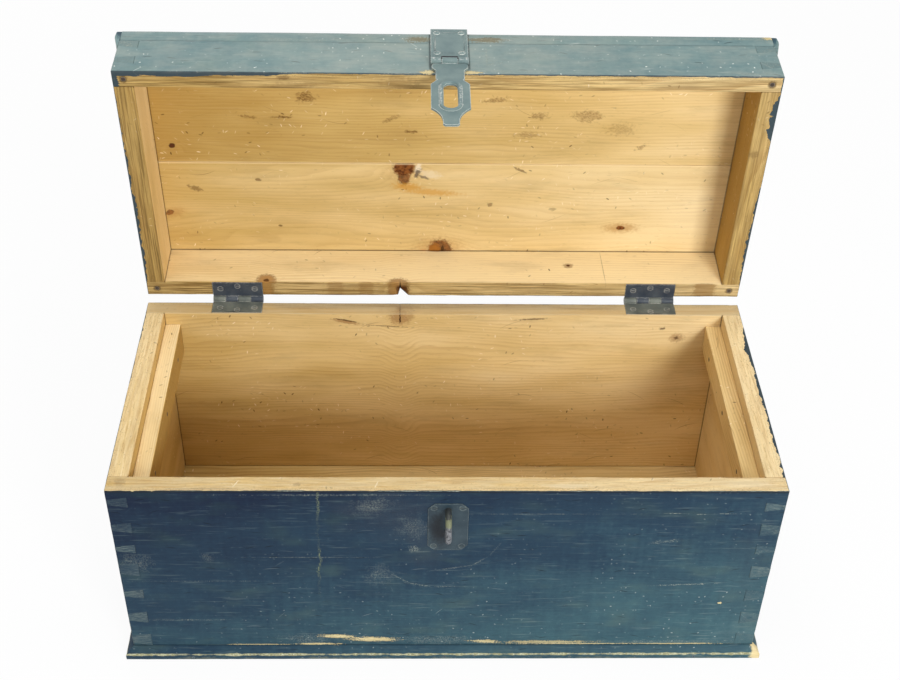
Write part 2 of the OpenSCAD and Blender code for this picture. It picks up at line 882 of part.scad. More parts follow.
front_board();
back_board();
left_end_board();
right_end_board();
bottom_board_front();
bottom_board_back();
bottom_nails();
base_moulding_front();
base_moulding_back();
base_moulding_left();
base_moulding_right();
base_moulding_brads();
left_tray_runner();
right_tray_runner();
runner_nails();
left_hinge_case_leaf();
right_hinge_case_leaf();
left_hinge_pin();
right_hinge_pin();
hinge_case_screws();
staple_plate();
staple();
staple_plate_screws();
lid_front_rail();
lid_back_rail();
lid_left_rail();
lid_right_rail();
lid_board_front();
lid_board_back();
lid_board_nails();
lid_corner_nails();
lid_left_cleat();
lid_right_cleat();
lid_cleat_brads();
left_hinge_lid_leaf();
right_hinge_lid_leaf();
hinge_lid_screws();
hasp_fixed_leaf();
hasp_leaf_screws();
hasp_pin();
hasp_swing_plate();
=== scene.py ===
import itertools
import math

import bpy
import numpy as np
from mathutils import Matrix, Vector

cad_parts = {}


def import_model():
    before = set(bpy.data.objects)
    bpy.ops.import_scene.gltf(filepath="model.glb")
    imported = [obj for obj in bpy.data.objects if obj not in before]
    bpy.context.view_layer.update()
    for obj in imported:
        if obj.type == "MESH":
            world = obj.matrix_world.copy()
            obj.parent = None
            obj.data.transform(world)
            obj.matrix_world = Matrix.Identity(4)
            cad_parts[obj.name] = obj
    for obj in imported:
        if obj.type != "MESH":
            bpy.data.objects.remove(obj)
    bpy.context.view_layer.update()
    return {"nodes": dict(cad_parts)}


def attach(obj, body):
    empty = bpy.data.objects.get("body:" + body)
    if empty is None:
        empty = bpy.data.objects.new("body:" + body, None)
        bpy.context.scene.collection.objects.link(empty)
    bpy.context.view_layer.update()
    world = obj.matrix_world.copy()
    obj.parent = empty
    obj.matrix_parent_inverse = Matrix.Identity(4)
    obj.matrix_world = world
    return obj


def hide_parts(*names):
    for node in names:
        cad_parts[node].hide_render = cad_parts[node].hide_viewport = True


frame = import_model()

MM = 0.001

# The chest's main sizes, in millimetres, as in the CAD source
HALF_W, HALF_D, RIM = 340.0, 150.0, 256.0
SIDE_T, END_T, BOTTOM_T, BOTTOM_JOINT = 20.0, 21.0, 12.0, 8.0
LID_RIM, LID_BOARD, LID_TOP = 256.8, 314.8, 334.8
LID_SIDE_T, LID_END_T, LID_JOINT = 19.0, 21.0, 5.0
INNER_Y, LID_INNER_Y = HALF_D - SIDE_T, HALF_D - LID_SIDE_T
RUNNER_T, RUNNER_TOP = 17.5, 240.0
PIN_SLOPE = math.tan(math.radians(9))
PIN_FIRST, PIN_STEP, PIN_W = 25.0, 214 / 6, 16.5
WANDER_LEFT = [(0, 2.5), (2, 1.5), (4, -2.5), (7, 4), (3, -4), (-1, -1.5), (0, -2.5)]
WANDER_RIGHT = [(0, 2.5), (0, 2.5), (1, 1.5), (3, 2.5), (2, -3), (-4, 1.5), (-6, -4)]
HINGE_Y, HINGE_Z, LID_OPEN = 156.0, 256.4, math.radians(86)
HINGE_X, HINGE_L, HINGE_REACH, LEAF_T = 237.0, 57.0, 18.5, 2.5
PAST = 2.0  # how far a cut runs past a board's faces

# The camera's place in millimetres and its yaw, pitch and roll in degrees
CAMERA_PLACE, CAMERA_TURN, LENS = (-36.91, -1129.06, 1264.4), (1.99, 39.72, -1.49), 56.49
WHITE, WORLD_LIGHT, FLOOR_WHITE = (1, 1, 1, 1), 0.40, 0.93


# ---- Camera, light and floor ---------------------------------------------------------

def camera():
    """The photograph's view, fitted to the chest's corners."""
    yaw, pitch, roll = (math.radians(a) for a in CAMERA_TURN)
    ahead = Vector((math.sin(yaw) * math.cos(pitch), math.cos(yaw) * math.cos(pitch), -math.sin(pitch)))
    right = Vector((math.cos(yaw), -math.sin(yaw), 0))
    down = ahead.cross(right)
    c, s = math.cos(roll), math.sin(roll)
    right, down = c * right + s * down, c * down - s * right
    data = bpy.data.cameras.new("camera")
    data.sensor_width, data.lens = 36, LENS
    obj = bpy.data.objects.new("camera", data)
    place = Matrix((right, -down, -ahead)).transposed().to_4x4()
    place.translation = Vector(CAMERA_PLACE) * MM
    obj.matrix_world = place
    bpy.context.scene.collection.objects.link(obj)
    bpy.context.scene.camera = obj


def soft_box(name, place, aim, size, watts):
    data = bpy.data.lights.new(name, "AREA")
    data.shape, data.size, data.size_y = "RECTANGLE", *size
    data.energy = watts
    obj = bpy.data.objects.new(name, data)
    obj.location = place
    obj.rotation_euler = (Vector(aim) - Vector(place)).to_track_quat("-Z", "Y").to_euler()
    bpy.context.scene.collection.objects.link(obj)


# ---- Materials: short ways to write node trees ---------------------------------------

def operator(kind, swapped=False):
    """A method that adds a Math node of a kind to a value's tree."""
    def method(value, other):
        return value.tree.math(kind, *((other, value) if swapped else (value, other)))
    return method


class Value:
    """An output socket. Arithmetic on it adds Math nodes to its tree."""

    __add__, __radd__ = operator("ADD"), operator("ADD", True)
    __sub__, __rsub__ = operator("SUBTRACT"), operator("SUBTRACT", True)
    __mul__, __pow__ = operator("MULTIPLY"), operator("POWER")
    low, high = operator("MINIMUM"), operator("MAXIMUM")

    def __init__(self, tree, socket):
        self.tree, self.socket = tree, socket

    def abs(self):
        return self.tree.math("ABSOLUTE", self)

    def fract(self):
        return self.tree.math("FRACT", self)

    def over(self, start, end):
        """0 up to start, 1 from end, smooth between. Start may be the larger."""
        return self.tree.node("MapRange", {0: self, 1: start, 2: end}, interpolation_type="SMOOTHSTEP")


class Tree:
    """The node tree of a new material or world."""

    def __init__(self, owner):
        owner.use_nodes = True
        self.owner, self.nodes, self.links = owner, owner.node_tree.nodes, owner.node_tree.links
        self.nodes.clear()

    def node(self, kind, inputs=None, out=0, **settings):
        made = self.nodes.new("ShaderNode" + kind)
        for key, value in settings.items():
            setattr(made, key, value)
        for key, value in (inputs or {}).items():
            if isinstance(value, Value):
                self.links.new(made.inputs[key], value.socket)
            else:
                made.inputs[key].default_value = value
        return Value(self, made.outputs[out]) if len(made.outputs) else None

    def several(self, kind, outs, inputs=None, **settings):
        """Some of one node's outputs, by name or number."""
        first = self.node(kind, inputs, outs[0], **settings)
        return [Value(self, first.socket.node.outputs[out]) for out in outs]

    def math(self, kind, a, b=0.0):
        return self.node("Math", {0: a, 1: b}, operation=kind)

    def attribute(self, name):
        return self.node("Attribute", attribute_name=name, out=1)

    def split(self, vector, kind="XYZ"):
        return self.several("Separate" + kind, range(3), {0: vector})

    def join(self, x, y, z=0.0):
        return self.node("CombineXYZ", {0: x, 1: y, 2: z})

    def scaled(self, vector, size, shift=(0, 0, 0)):
        """The vector in units of a size, one number or one for each axis, moved on by shift."""
        sizes = size if isinstance(size, tuple) else (size,) * 3
        return self.node("Mapping", {0: vector, 1: shift, 3: [1 / s for s in sizes]})

    def noise(self, vector, detail=2.0, rough=0.5):
        return self.node("TexNoise", {"Vector": vector, "Scale": 1.0, "Detail": detail, "Roughness": rough})

    def wander(self, vector, size, detail=2.0, shift=(0, 0, 0)):
        """Noise from about -1 to 1, with bumps of a size in mm."""
        return (self.noise(self.scaled(vector, size, shift), detail) - 0.5) * 3.0

    def mix(self, share, a, b):
        a, b = (v if isinstance(v, Value) else (*colour(v), 1) for v in (a, b))
        return self.node("Mix", {0: share, 6: a, 7: b}, out=2, data_type="RGBA")

    def ramp(self, value, stops):
        made = self.node("ValToRGB", {0: value})
        parts = made.socket.node.color_ramp.elements
        while len(parts) < len(stops):
            parts.new(0.5)
        for part, (place, tone) in zip(parts, stops):
            part.position = place
            part.color = (*colour(tone), 1)
        return made

    def spot(self, vector, middle, size, turn, ragged, soft=0.25, edge=0.35):
        """1 inside an ellipse in the vector's first two axes, 0 outside."""
        local = self.node("Mapping", {0: vector, 1: (*middle, 0), 2: (0, 0, math.radians(turn)),
                                      3: (*size, 1e5)}, vector_type="TEXTURE")
        far = self.node("VectorMath", {0: local}, operation="LENGTH", out=1) + ragged * edge
        return far.over(1 + soft, 1 - soft)

    def spots(self, vector, places, ragged, soft, edge):
        """The highest of several ellipses: (x, y, half length, half width, turn, strength)."""
        total = None
        for x, y, a, b, turn, strength in places:
            one = self.spot(vector, (x, y), (a, b), turn, ragged, soft, edge) * strength
            total = one if total is None else total.high(one)
        return total

    def ticks(self, flat, cell, length, width, share, seed, spread=6.28):
        """Short tapering strokes, one at most in each cell, each at its own angle and strength."""
        shifted = self.scaled(flat, cell, (seed * 3.7, seed * 1.9, 0))
        middle, hue = self.several("TexVoronoi", ("Position", "Color"), {"Vector": shifted, "Scale": 1.0},
                                   voronoi_dimensions="2D")
        away = self.node("VectorMath", {0: shifted, 1: middle}, operation="SUBTRACT")
        chance = self.split(hue, "Color")
        turned = self.node("VectorRotate", {0: away, 3: (chance[0] - 0.5) * spread}, rotation_type="Z_AXIS")
        x, y, _ = self.split(turned)
        bent = y + x * x * ((chance[2] - 0.5) * (0.03 * cell))
        far = self.node("VectorMath", {0: self.join(x * (cell / length), bent * (cell / width))},
                        operation="LENGTH", out=1)
        return far.over(1.3, 0.6) * chance[1].over(1 - share, 1.01 - share) * (chance[2] ** 2.0 * 0.8 + 0.2)

    def finish(self, base, rough, height, bump, **shader):
        """A Principled shader and its bump; height is in millimetres."""
        normal = self.node("Bump", {"Strength": bump, "Distance": MM, "Height": height})
        inputs = {"Base Color": base, "Roughness": rough, "Normal": normal}
        inputs.update({key.replace("_", " "): value for key, value in shader.items()})
        self.node("OutputMaterial", {0: self.node("BsdfPrincipled", inputs)})
        return self.owner


def colour(rgb):
    """A colour written as it is seen, 0 to 255, for a shader socket."""
    return tuple(((c / 255 + 0.055) / 1.055) ** 2.4 if c > 10 else c / 255 / 12.92 for c in rgb)


# ---- Meshes --------------------------------------------------------------------------

def lumps(p, scale, seed):
    """Smooth noise from -1 to 1 at points p, with bumps about scale apart."""
    q = p / np.asarray(scale, float) + seed * 7.31
    cell = np.floor(q).astype(np.int64)
    f = q - cell
    f = f * f * (3 - 2 * f)
    total = np.zeros(len(p))
    for corner in itertools.product((0, 1), repeat=3):
        c = cell + np.array(corner)
        h = (c[:, 0] * 73856093) ^ (c[:, 1] * 19349663) ^ (c[:, 2] * 83492791) ^ (seed * 97531)
        h = ((h ^ (h >> 13)) * 1274126177) & 0xFFFFFFFF
        h = (h ^ (h >> 16)) & 0xFFFF
        total += np.prod(np.where(corner, f, 1 - f), axis=1) * (h / 32767.5 - 1)
    return total


def lines(low, high, step):
    """Places from low to high, close together near both ends."""
    near = [e for e in (0, 0.35, 0.8, 1.4, 2.2, 3.4, 5.2, 8) if e < (high - low) / 2 - 0.3]
    middle = np.linspace(low + near[-1], high - near[-1], max(2, round((high - low - 2 * near[-1]) / step) + 1))
    return np.concatenate([[low + e for e in near[:-1]], middle, [high - e for e in near[-2::-1]]])


def box_grid(low, high, step):
    """The surface of a box as a closed grid of quads."""
    ax = [lines(a, b, step) for a, b in zip(low, high)]
    n = [len(a) for a in ax]
    quads = []
    for a in range(3):
        b, c = (a + 1) % 3, (a + 2) % 3
        ib, ic = (g.ravel() for g in np.meshgrid(np.arange(n[b] - 1), np.arange(n[c] - 1), indexing="ij"))
        for end in (0, n[a] - 1):
            ring = [(0, 0), (1, 0), (1, 1), (0, 1)]
            corners = []
            for db, dc in ring if end else ring[::-1]:
                ijk = [None] * 3
                ijk[a], ijk[b], ijk[c] = np.full(ib.shape, end), ib + db, ic + dc
                corners.append((ijk[0] * n[1] + ijk[1]) * n[2] + ijk[2])
            quads.append(np.stack(corners, 1))
    keys, quads = np.unique(np.concatenate(quads), return_inverse=True)
    places = (ax[0][keys // (n[1] * n[2])], ax[1][keys // n[2] % n[1]], ax[2][keys % n[2]])
    return np.stack(places, 1), quads.reshape(-1, 4)


def weather(p, low, high, radius, seed, dents=(), worn=None):
    """Rounds a box's arrises by an uneven radius and makes its faces a little uneven, inwards only."""
    low, high = np.array(low, float), np.array(high, float)
    size = radius * (1 + 0.4 * lumps(p, 38, seed) + 0.35 * lumps(p, 9, seed + 1))
    size += radius * 2.2 * np.clip(lumps(p, 14, seed + 2) - 0.55, 0, 1)
    r = np.repeat(np.clip(size, 0.25, None)[:, None], 3, axis=1)
    if worn is not None:
        r = worn(p, r)
    q = np.clip(p, low + r, high - r)
    d = (p - q) / r
    d /= np.maximum(np.linalg.norm(d, axis=1, keepdims=True), 1e-9)
    out = q + r * d
    sunk = 0.09 * (1 + lumps(p, 70, seed + 3)) + 0.03 * (1 + lumps(p, 16, seed + 4))
    out -= d * sunk[:, None]
    for middle, spread, push in dents:
        far = np.linalg.norm((p - np.array(middle)) / np.array(spread), axis=1)
        out += np.array(push) * (np.clip(1 - far ** 2, 0, 1) ** 2)[:, None]
    return out


def mesh_object(name, points, faces):
    data = bpy.data.meshes.new(name)
    data.from_pydata(np.asarray(points).tolist(), [], [list(map(int, f)) for f in faces])
    data.update()
    obj = bpy.data.objects.new(name, data)
    bpy.context.scene.collection.objects.link(obj)
    return obj


def loft(rings):
    """A closed solid through (y, section in X and Z) rings, as points and faces."""
    section = rings[0][1]
    n = len(section)
    points = [(x, y, z) for y, part in rings for x, z in part]
    area = sum(section[i][0] * section[(i + 1) % n][1] - section[(i + 1) % n][0] * section[i][1] for i in range(n))
    faces = [list(range(n)), list(range(len(points) - 1, len(points) - n - 1, -1))]
    for k in range(0, len(points) - n, n):
        faces += [[i + n + k, (i + 1) % n + n + k, (i + 1) % n + k, i + k] for i in range(n)]
    return points, faces if area > 0 else [f[::-1] for f in faces]


def prism(section, y0, y1):
    """A closed prism along Y over a section in X and Z."""
    return loft([(y0, section), (y1, section)])


def gather(name, parts):
    points, faces = [], []
    for p, f in parts:
        faces += [[i + len(points) for i in face] for face in f]
        points += list(p)
    return mesh_object(name, points, faces)


def cut(obj, parts):
    """Takes the parts' closed shapes out of an object's mesh."""
    tool = gather("tool", parts)
    change = obj.modifiers.new("cut", "BOOLEAN")
    change.operation, change.solver, change.object = "DIFFERENCE", "EXACT", tool
    shaped = bpy.data.meshes.new_from_object(obj.evaluated_get(bpy.context.evaluated_depsgraph_get()))
    obj.modifiers.clear()
    obj.data = shaped
    bpy.data.objects.remove(tool)


def pin_list(wander):
    return [(PIN_FIRST + i * PIN_STEP + up * PIN_STEP / 36, PIN_W + wider) for i, (up, wider) in enumerate(wander)]


def edge_line(side, z, slope, t, inner=1.5, outer=1.5):
    """A dovetail's sloping line, carried a little past both faces of the end board: [(x, z), (x, z)]."""
    return [(side * (HALF_W - t - inner), z - slope * inner), (side * (HALF_W + outer), z + slope * (t + outer))]


def pin_cuts(side, pins, t, y0, y1, gap):
    """The sockets for one corner's pins."""
    cuts = []
    for z, w in pins:
        a = edge_line(side, z - w / 2 - gap, PIN_SLOPE, t, gap)
        b = edge_line(side, z + w / 2 + gap, -PIN_SLOPE, t, gap)
        cuts.append(prism([a[0], a[1], b[1], b[0]], y0, y1))
    return cuts


def tail_cuts(side, pins, t, low, high, y0, y1):
    """The room for one corner's tails, between the pins and past the first and last of them."""
    cuts = []
    edges = [low] + [v for z, w in pins for v in (z - w / 2, z + w / 2)] + [high]
    for i in range(0, len(edges), 2):
        a = edge_line(side, edges[i], -PIN_SLOPE if i else 0, t)
        b = edge_line(side, edges[i + 1], PIN_SLOPE if i + 2 < len(edges) else 0, t)
        if edges[i + 1] > edges[i]:
            cuts.append(prism([a[0], a[1], b[1], b[0]], y0, y1))
    return cuts


def settle(obj, node, body, grain, material, seed, smooth=38):
    """Gives a piece its attributes in millimetres, its material and its body, and turns lid pieces open.
    Grain names the piece's own axes: along the grain, across it, and through the board."""
    data = obj.data
    at = np.zeros(len(data.vertices) * 3, np.float32)
    data.vertices.foreach_get("co", at)
    at = at.reshape(-1, 3)
    own = at[:, ["xyz".index(c) for c in grain]] + np.float32([seed * 733, seed * 91, seed * 57])
    for name, values in (("at", at), ("grain", own)):
        layer = data.attributes.new(name, "FLOAT_VECTOR", "POINT")
        layer.data.foreach_set("vector", np.ascontiguousarray(values, np.float32).ravel())
    data.transform(Matrix.Scale(MM, 4))
    if body == "lid":
        hinge = Matrix.Translation((0, HINGE_Y * MM, HINGE_Z * MM))
        data.transform(hinge @ Matrix.Rotation(-LID_OPEN, 4, "X") @ hinge.inverted())
    data.shade_smooth()
    data.set_sharp_from_angle(angle=math.radians(smooth))
    data.materials.clear()
    data.materials.append(material)
    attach(obj, body)
    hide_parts(node)


def board(node, low, high, body, grain, material, seed, radius=0.8, step=5.5, cuts=(), dents=(), worn=None,
          front=None):
    points, quads = box_grid(low, high, step)
    points = weather(points, low, high, radius, seed, dents, worn)
    obj = mesh_object(node + "_wood", points, quads)
    if cuts:
        cut(obj, cuts)
    settle(obj, node, body, grain, material, seed)
    if front:  # another material for the outside of the front
        obj.data.materials.append(front)
        normals = np.zeros(len(obj.data.polygons) * 3, np.float32)
        middles = np.zeros_like(normals)
        obj.data.polygons.foreach_get("normal", normals)
        obj.data.polygons.foreach_get("center", middles)
        chosen = (normals[1::3] < -0.6) & (middles[1::3] < -0.148)
        obj.data.polygons.foreach_set("material_index", chosen.astype(np.int32))


def strip(node, section, ends, body, material, seed, turn=0, wear=0.4, step=4.0, grain="xyz", worn=None):
    """A moulded strip: a section of (out, up, bulge) points run along X. Ends gives half the length at each out,
    and turn is how many quarter turns it makes about Z."""
    section = [np.array(s, float) for s in section]
    n = len(section)
    longest = max(ends(s[0]) for s in section)
    count = int(2 * longest / step) + 1
    points = []
    for t in np.linspace(-1, 1, count):
        points += [(t * ends(s[0]), s[0], s[1]) for s in section]
    points = np.array(points)
    middle = np.mean([s[:2] for s in section], axis=0)
    inward = middle - points[:, 1:]
    inward /= np.linalg.norm(inward, axis=1, keepdims=True)
    uneven = 1 + lumps(points, 30, seed) + 0.8 * lumps(points, 7, seed + 1)
    amount = np.tile([s[2] for s in section], count) * wear * uneven
    points[:, 1:] += inward * np.clip(amount, 0, None)[:, None]
    faces = [[(k + 1) * n + i, (k + 1) * n + (i + 1) % n, k * n + (i + 1) % n, k * n + i]
             for k in range(count - 1) for i in range(n)]
    faces += [list(range(n)), list(range(count * n - 1, count * n - n - 1, -1))]
    c, s = round(math.cos(turn * math.pi / 2)), round(math.sin(turn * math.pi / 2))
    points = np.stack([points[:, 0] * c - points[:, 1] * s, points[:, 0] * s + points[:, 1] * c, points[:, 2]], 1)
    if worn is not None:
        worn(points)
    obj = mesh_object(node + "_wood", points, faces)
    settle(obj, node, body, grain, material, seed, smooth=30)


# ---- Wood and paint ------------------------------------------------------------------

def pine(t, own, at, knots, light, rings=3.4, lines=0.5):
    """Bare pine: its colour and its height in mm. Own is along, across and through the board; light is 0 for
    honey and 1 for pale wood; rings is the width of a year's growth, and lines is how strongly it shows."""
    _, v, w = t.split(own)
    slow = t.wander(own, (330, 55, 55), 1.5)
    waves = t.wander(own, (70, 22, 22), 2.0)
    ring = (v + w * 0.35) * (1 / rings) + slow * 3.2 + waves * 0.42
    for x, y, a, b, lift in knots:
        local = t.node("Mapping", {0: at, 1: (x, y, 0), 3: (a, b, 1e5)}, vector_type="TEXTURE")
        far = t.node("VectorMath", {0: local}, operation="LENGTH", out=1)
        ring = ring + far.over(2.4, 0.2) * lift
    part = ring.fract()
    late = part.over(0.3, 0.9) * part.over(1.0, 0.92)
    fade = t.wander(own, (130, 14, 14), 1.0, (40, 7, 3)).over(-1.0, 0.9)
    late = late * (fade * 0.85 + 0.15)
    fibre = t.wander(own, (45, 0.9, 0.9), 2.0)
    dashes = t.noise(t.scaled(own, (11, 0.75, 0.75), (5, 9, 2)), 1.0).over(0.68, 0.76)
    blotch = t.wander(own, (150, 40, 40), 2.0, (17, 3, 8))
    light = light + blotch * 0.24
    base = t.ramp(light, [(0.0, (182, 147, 80)), (0.3, (204, 172, 106)), (0.6, (228, 199, 140)),
                          (1.0, (246, 224, 176))])
    base = t.mix(late * lines, base, t.mix(light.over(0.2, 0.9), (152, 108, 50), (194, 150, 92)))
    base = t.mix(fibre.over(0.1, 1.2) * 0.16, base, (252, 230, 186))
    base = t.mix(fibre.over(-0.1, -1.2) * 0.24, base, (138, 98, 48))
    base = t.mix(dashes * 0.3, base, (126, 88, 44))
    return base, fibre * 0.035


def flat_of(t, own):
    """The board's own plane, on its faces and on its edges alike."""
    u, v, w = t.split(own)
    return t.join(u, v + w)


def marks(t, base, own, seed):
    """Dents, nicks and grime on bare wood."""
    flat = flat_of(t, own)
    cluster = t.noise(t.scaled(own, (80, 45, 45), (seed, 2, 7)), 2.0).over(0.42, 0.62)
    small = t.ticks(flat, 13, 2.0, 0.8, 0.34, seed) * cluster
    long = t.ticks(flat, 55, 14.0, 0.4, 0.4, seed + 1, 1.2)
    fleck = t.ticks(flat, 9, 2.2, 0.5, 0.32, seed + 2) * cluster
    base = t.mix(small * 0.9, base, (92, 64, 34))
    base = t.mix(long * 0.6, base, (136, 100, 58))
    base = t.mix(fleck * 0.9, base, (252, 234, 198))
    dirt = t.noise(t.scaled(own, (90, 22, 22), (seed, 4, 9)), 4.0, 0.6).over(0.5, 0.78)
    return t.mix(dirt * 0.22, base, (136, 112, 66))


def old_paint(t, own, at, shade):
    """Brushed blue paint gone dull: its colour, its height in mm and its roughness.
    Shade runs from navy, 0, by slate, 0.5, to pale grey-teal, 1; callers put painted light into it as well as the
    paint's tone."""
    flat = flat_of(t, own)
    brush = t.wander(own, (40, 1.4, 1.4), 3.0)
    broad = t.wander(own, (110, 45, 45), 3.0, (3, 8, 1))
    runs = t.wander(own, (8, 90, 90), 2.0, (6, 2, 3))
    mottle = t.wander(at, 4.5, 4.0, (8, 1, 5))
    tone = shade + broad * 0.09 + brush * 0.035 + runs * 0.035 + mottle * 0.04
    base = t.ramp(tone, [(0.0, (24, 36, 56)), (0.25, (38, 60, 77)), (0.5, (62, 93, 102)), (0.75, (104, 130, 132)),
                         (1.0, (142, 163, 158))])
    green = t.wander(own, (60, 30, 30), 3.0, (9, 1, 4)).over(0.0, 1.0)
    base = t.mix(green * 0.4, base, t.mix(shade, (36, 62, 60), (134, 156, 142)))
    base = t.mix(mottle.over(0.4, 1.5) * 0.4, base, t.mix(shade, (84, 104, 106), (176, 190, 180)))
    base = t.mix(mottle.over(-0.4, -1.5) * 0.5, base, t.mix(shade, (14, 22, 34), (82, 102, 104)))
    smear = t.noise(t.scaled(own, (40, 2.4, 2.4), (2, 5, 7)), 3.0, 0.6)
    base = t.mix(smear.over(0.58, 0.74) * 0.24, base, t.mix(shade, (96, 116, 118), (180, 192, 182)))
    cluster = t.noise(t.scaled(at, 55, (5, 5, 2)), 2.0).over(0.44, 0.6)
    speck = t.ticks(flat, 7.5, 1.1, 0.7, 0.26, 6.0) * (cluster * 0.8 + 0.15)
    dash = t.ticks(flat, 31, 8.0, 0.5, 0.22, 5.0, 0.35) * cluster
    scratch = t.ticks(flat, 42, 6.0, 0.4, 0.3, 7.0, 2.6) * cluster
    pale = (speck * (shade * 1.4 + 0.4)).high(dash * 0.5).high(scratch * 0.5) * (shade * 1.35 + 0.08)
    base = t.mix(pale, base, t.mix(shade, (134, 150, 150), (240, 244, 236)))
    dark = t.ticks(flat, 18, 5.0, 0.6, 0.45, 8.0, 0.8)
    base = t.mix(dark * 0.8, base, t.mix(shade, (14, 20, 30), (48, 62, 66)))
    return base, brush * 0.045 + mottle * 0.03, mottle * 0.06 + 0.5


def wooden(name):
    """A new material's tree, a piece's places and its own axes in mm, and the places' x, y and z."""
    t = Tree(bpy.data.materials.new(name))
    at = t.attribute("at")
    return t, at, t.attribute("grain"), *t.split(at)


def piece_material(name, lid, light, shade, knots=(), wood=None, extra_lap=None, bare=(), worn=(), seed=1.0,
                   rings=3.4, tint=None, film=((206, 188, 150), 0.45), frayed=1.0, outside=False, grain=0.5):
    """Paint on the outside, bare pine within and on the rims, with worn arrises between.
    Film is the grime on the rim's wood, and frayed is how much the outer arrises are rubbed.
    Outside is for a face that only has painted wood."""
    t, at, own, x, y, z = wooden(name)
    a, b = HALF_W - x.abs(), HALF_D - y.abs()
    if not outside:
        base, height = pine(t, own, at, knots, light(t, x, y, z), rings, grain)
        base = marks(t, base, own, seed)
        if wood:
            base = wood(t, base, own, x, y, z)
    fine = t.wander(at, 7, 3.0)
    ragged = t.wander(at, 1.8, 3.0)
    coarse = t.wander(at, 45, 2.0, (2, 2, 6))
    if lid:
        c, rim = LID_TOP - z, z - LID_RIM
        out = a.low(b).low(c)
        arris = rim.low(c)
    else:
        out, rim = a.low(b), RIM - z
        arris = rim
    grit = t.noise(t.scaled(at, 1.1), 5.0, 0.75)
    if outside or bare:
        flame = t.wander(own, (10, 1.3, 1.3), 3.0, (1, 7, 7))
        chip_wood = t.mix(flame.over(-1.0, 0.6), (176, 150, 100), (230, 214, 166))
    if outside:
        base, height = chip_wood, flame * 0.05
    else:
        smut = t.noise(t.scaled(own, (60, 4, 4), (seed, 6, 1)), 4.0, 0.65)
        base = t.mix(rim.over(1.6, 0.3) * smut.over(0.2, 0.75) * (film[1] * 1.6), base, film[0])
        specks = rim.over(1.2, 0.3) * a.low(b).over(9.0, 1.0) * grit.over(0.56, 0.64)
        base = t.mix(specks * 0.8, base, (92, 80, 60))
        # Dark lines where the boards meet inside: partly the joints' own dark, partly painted shade in the inside
        # corners.
        gap_x = ((HALF_W - END_T) - x.abs()).abs()
        gap_y = ((LID_INNER_Y if lid else INNER_Y) - y.abs()).abs()
        gap_z = ((LID_BOARD if lid else BOTTOM_T) - z).abs()
        seam_and_corner_shade = gap_x.low(gap_y).high(gap_x.high(gap_y).low(gap_z))
        base = t.mix(seam_and_corner_shade.over(1.3, 0.3) * 0.65, base, (84, 54, 26))
    second = a.low(b).high(a.high(b).low(arris))
    lap = fine * 0.5 + coarse * 0.5 + 0.75 + rim.over(1.6, 3.0) * 2.5
    if extra_lap:
        lap = lap.high(extra_lap(t, x, y, z, fine, coarse))
    painted = (lap - out).over(-0.12, 0.12)
    flat, front = t.join(x, z), y.over(-144.0, -148.0)  # worn and bare are places on the front
    wear = (fine * 0.55 + coarse * 0.7 + ragged * 0.25 + 0.35 - second).over(-0.2, 0.5) * (0.75 * frayed)
    if worn:
        wear = wear.high(t.spots(flat, worn, ragged + fine, 0.7, 0.9) * grit.over(0.47, 0.6) * front)
    skin, rise, rough = old_paint(t, own, at, shade(t, x, y, z))
    if tint:
        skin = tint(t, skin, x, y, z)
    primer = t.mix(ragged.over(-0.4, 0.8), (124, 134, 128), (186, 188, 170))
    skin = t.mix(wear, t.mix(rim.over(1.4, 0.3) * 0.8, skin, (62, 72, 76)), primer)
    chipped = (fine * 0.6 + ragged * 0.5 + coarse * 0.4 - 0.55 - second * 1.1).over(-0.1, 0.25) * frayed
    if bare:
        chipped = chipped.high(t.spots(flat, bare, flame + ragged * 0.8 + (grit - 0.5) * 5.0, 0.2, 0.6) * front)
        base = t.mix(painted * 0.8, base, chip_wood)
    keep = painted * (1.0 - chipped)
    edge = (1.0 - (keep * 2.0 - 1.0).abs()).over(0.1, 0.9)
    full = t.mix(keep, t.mix(painted * 0.4, base, (196, 184, 140)), skin)
    full = t.mix(edge * 0.55, full, (28, 36, 42))
    high = t.node("Mix", {0: out.over(1.4, 0.9), 2: height, 3: rise}, data_type="FLOAT")
    smooth = t.node("Mix", {0: keep, 2: 0.62, 3: rough}, data_type="FLOAT")
    return t.finish(full, smooth, high, 0.9, Specular_IOR_Level=0.08)


def bare_material(name, light, seed, rings):
    t, at, own, x, y, z = wooden(name)
    base, height = pine(t, own, at, (), light(t, x, y, z), rings)
    base = marks(t, base, own, seed)
    return t.finish(base, 0.62, height, 0.8, Specular_IOR_Level=0.2)


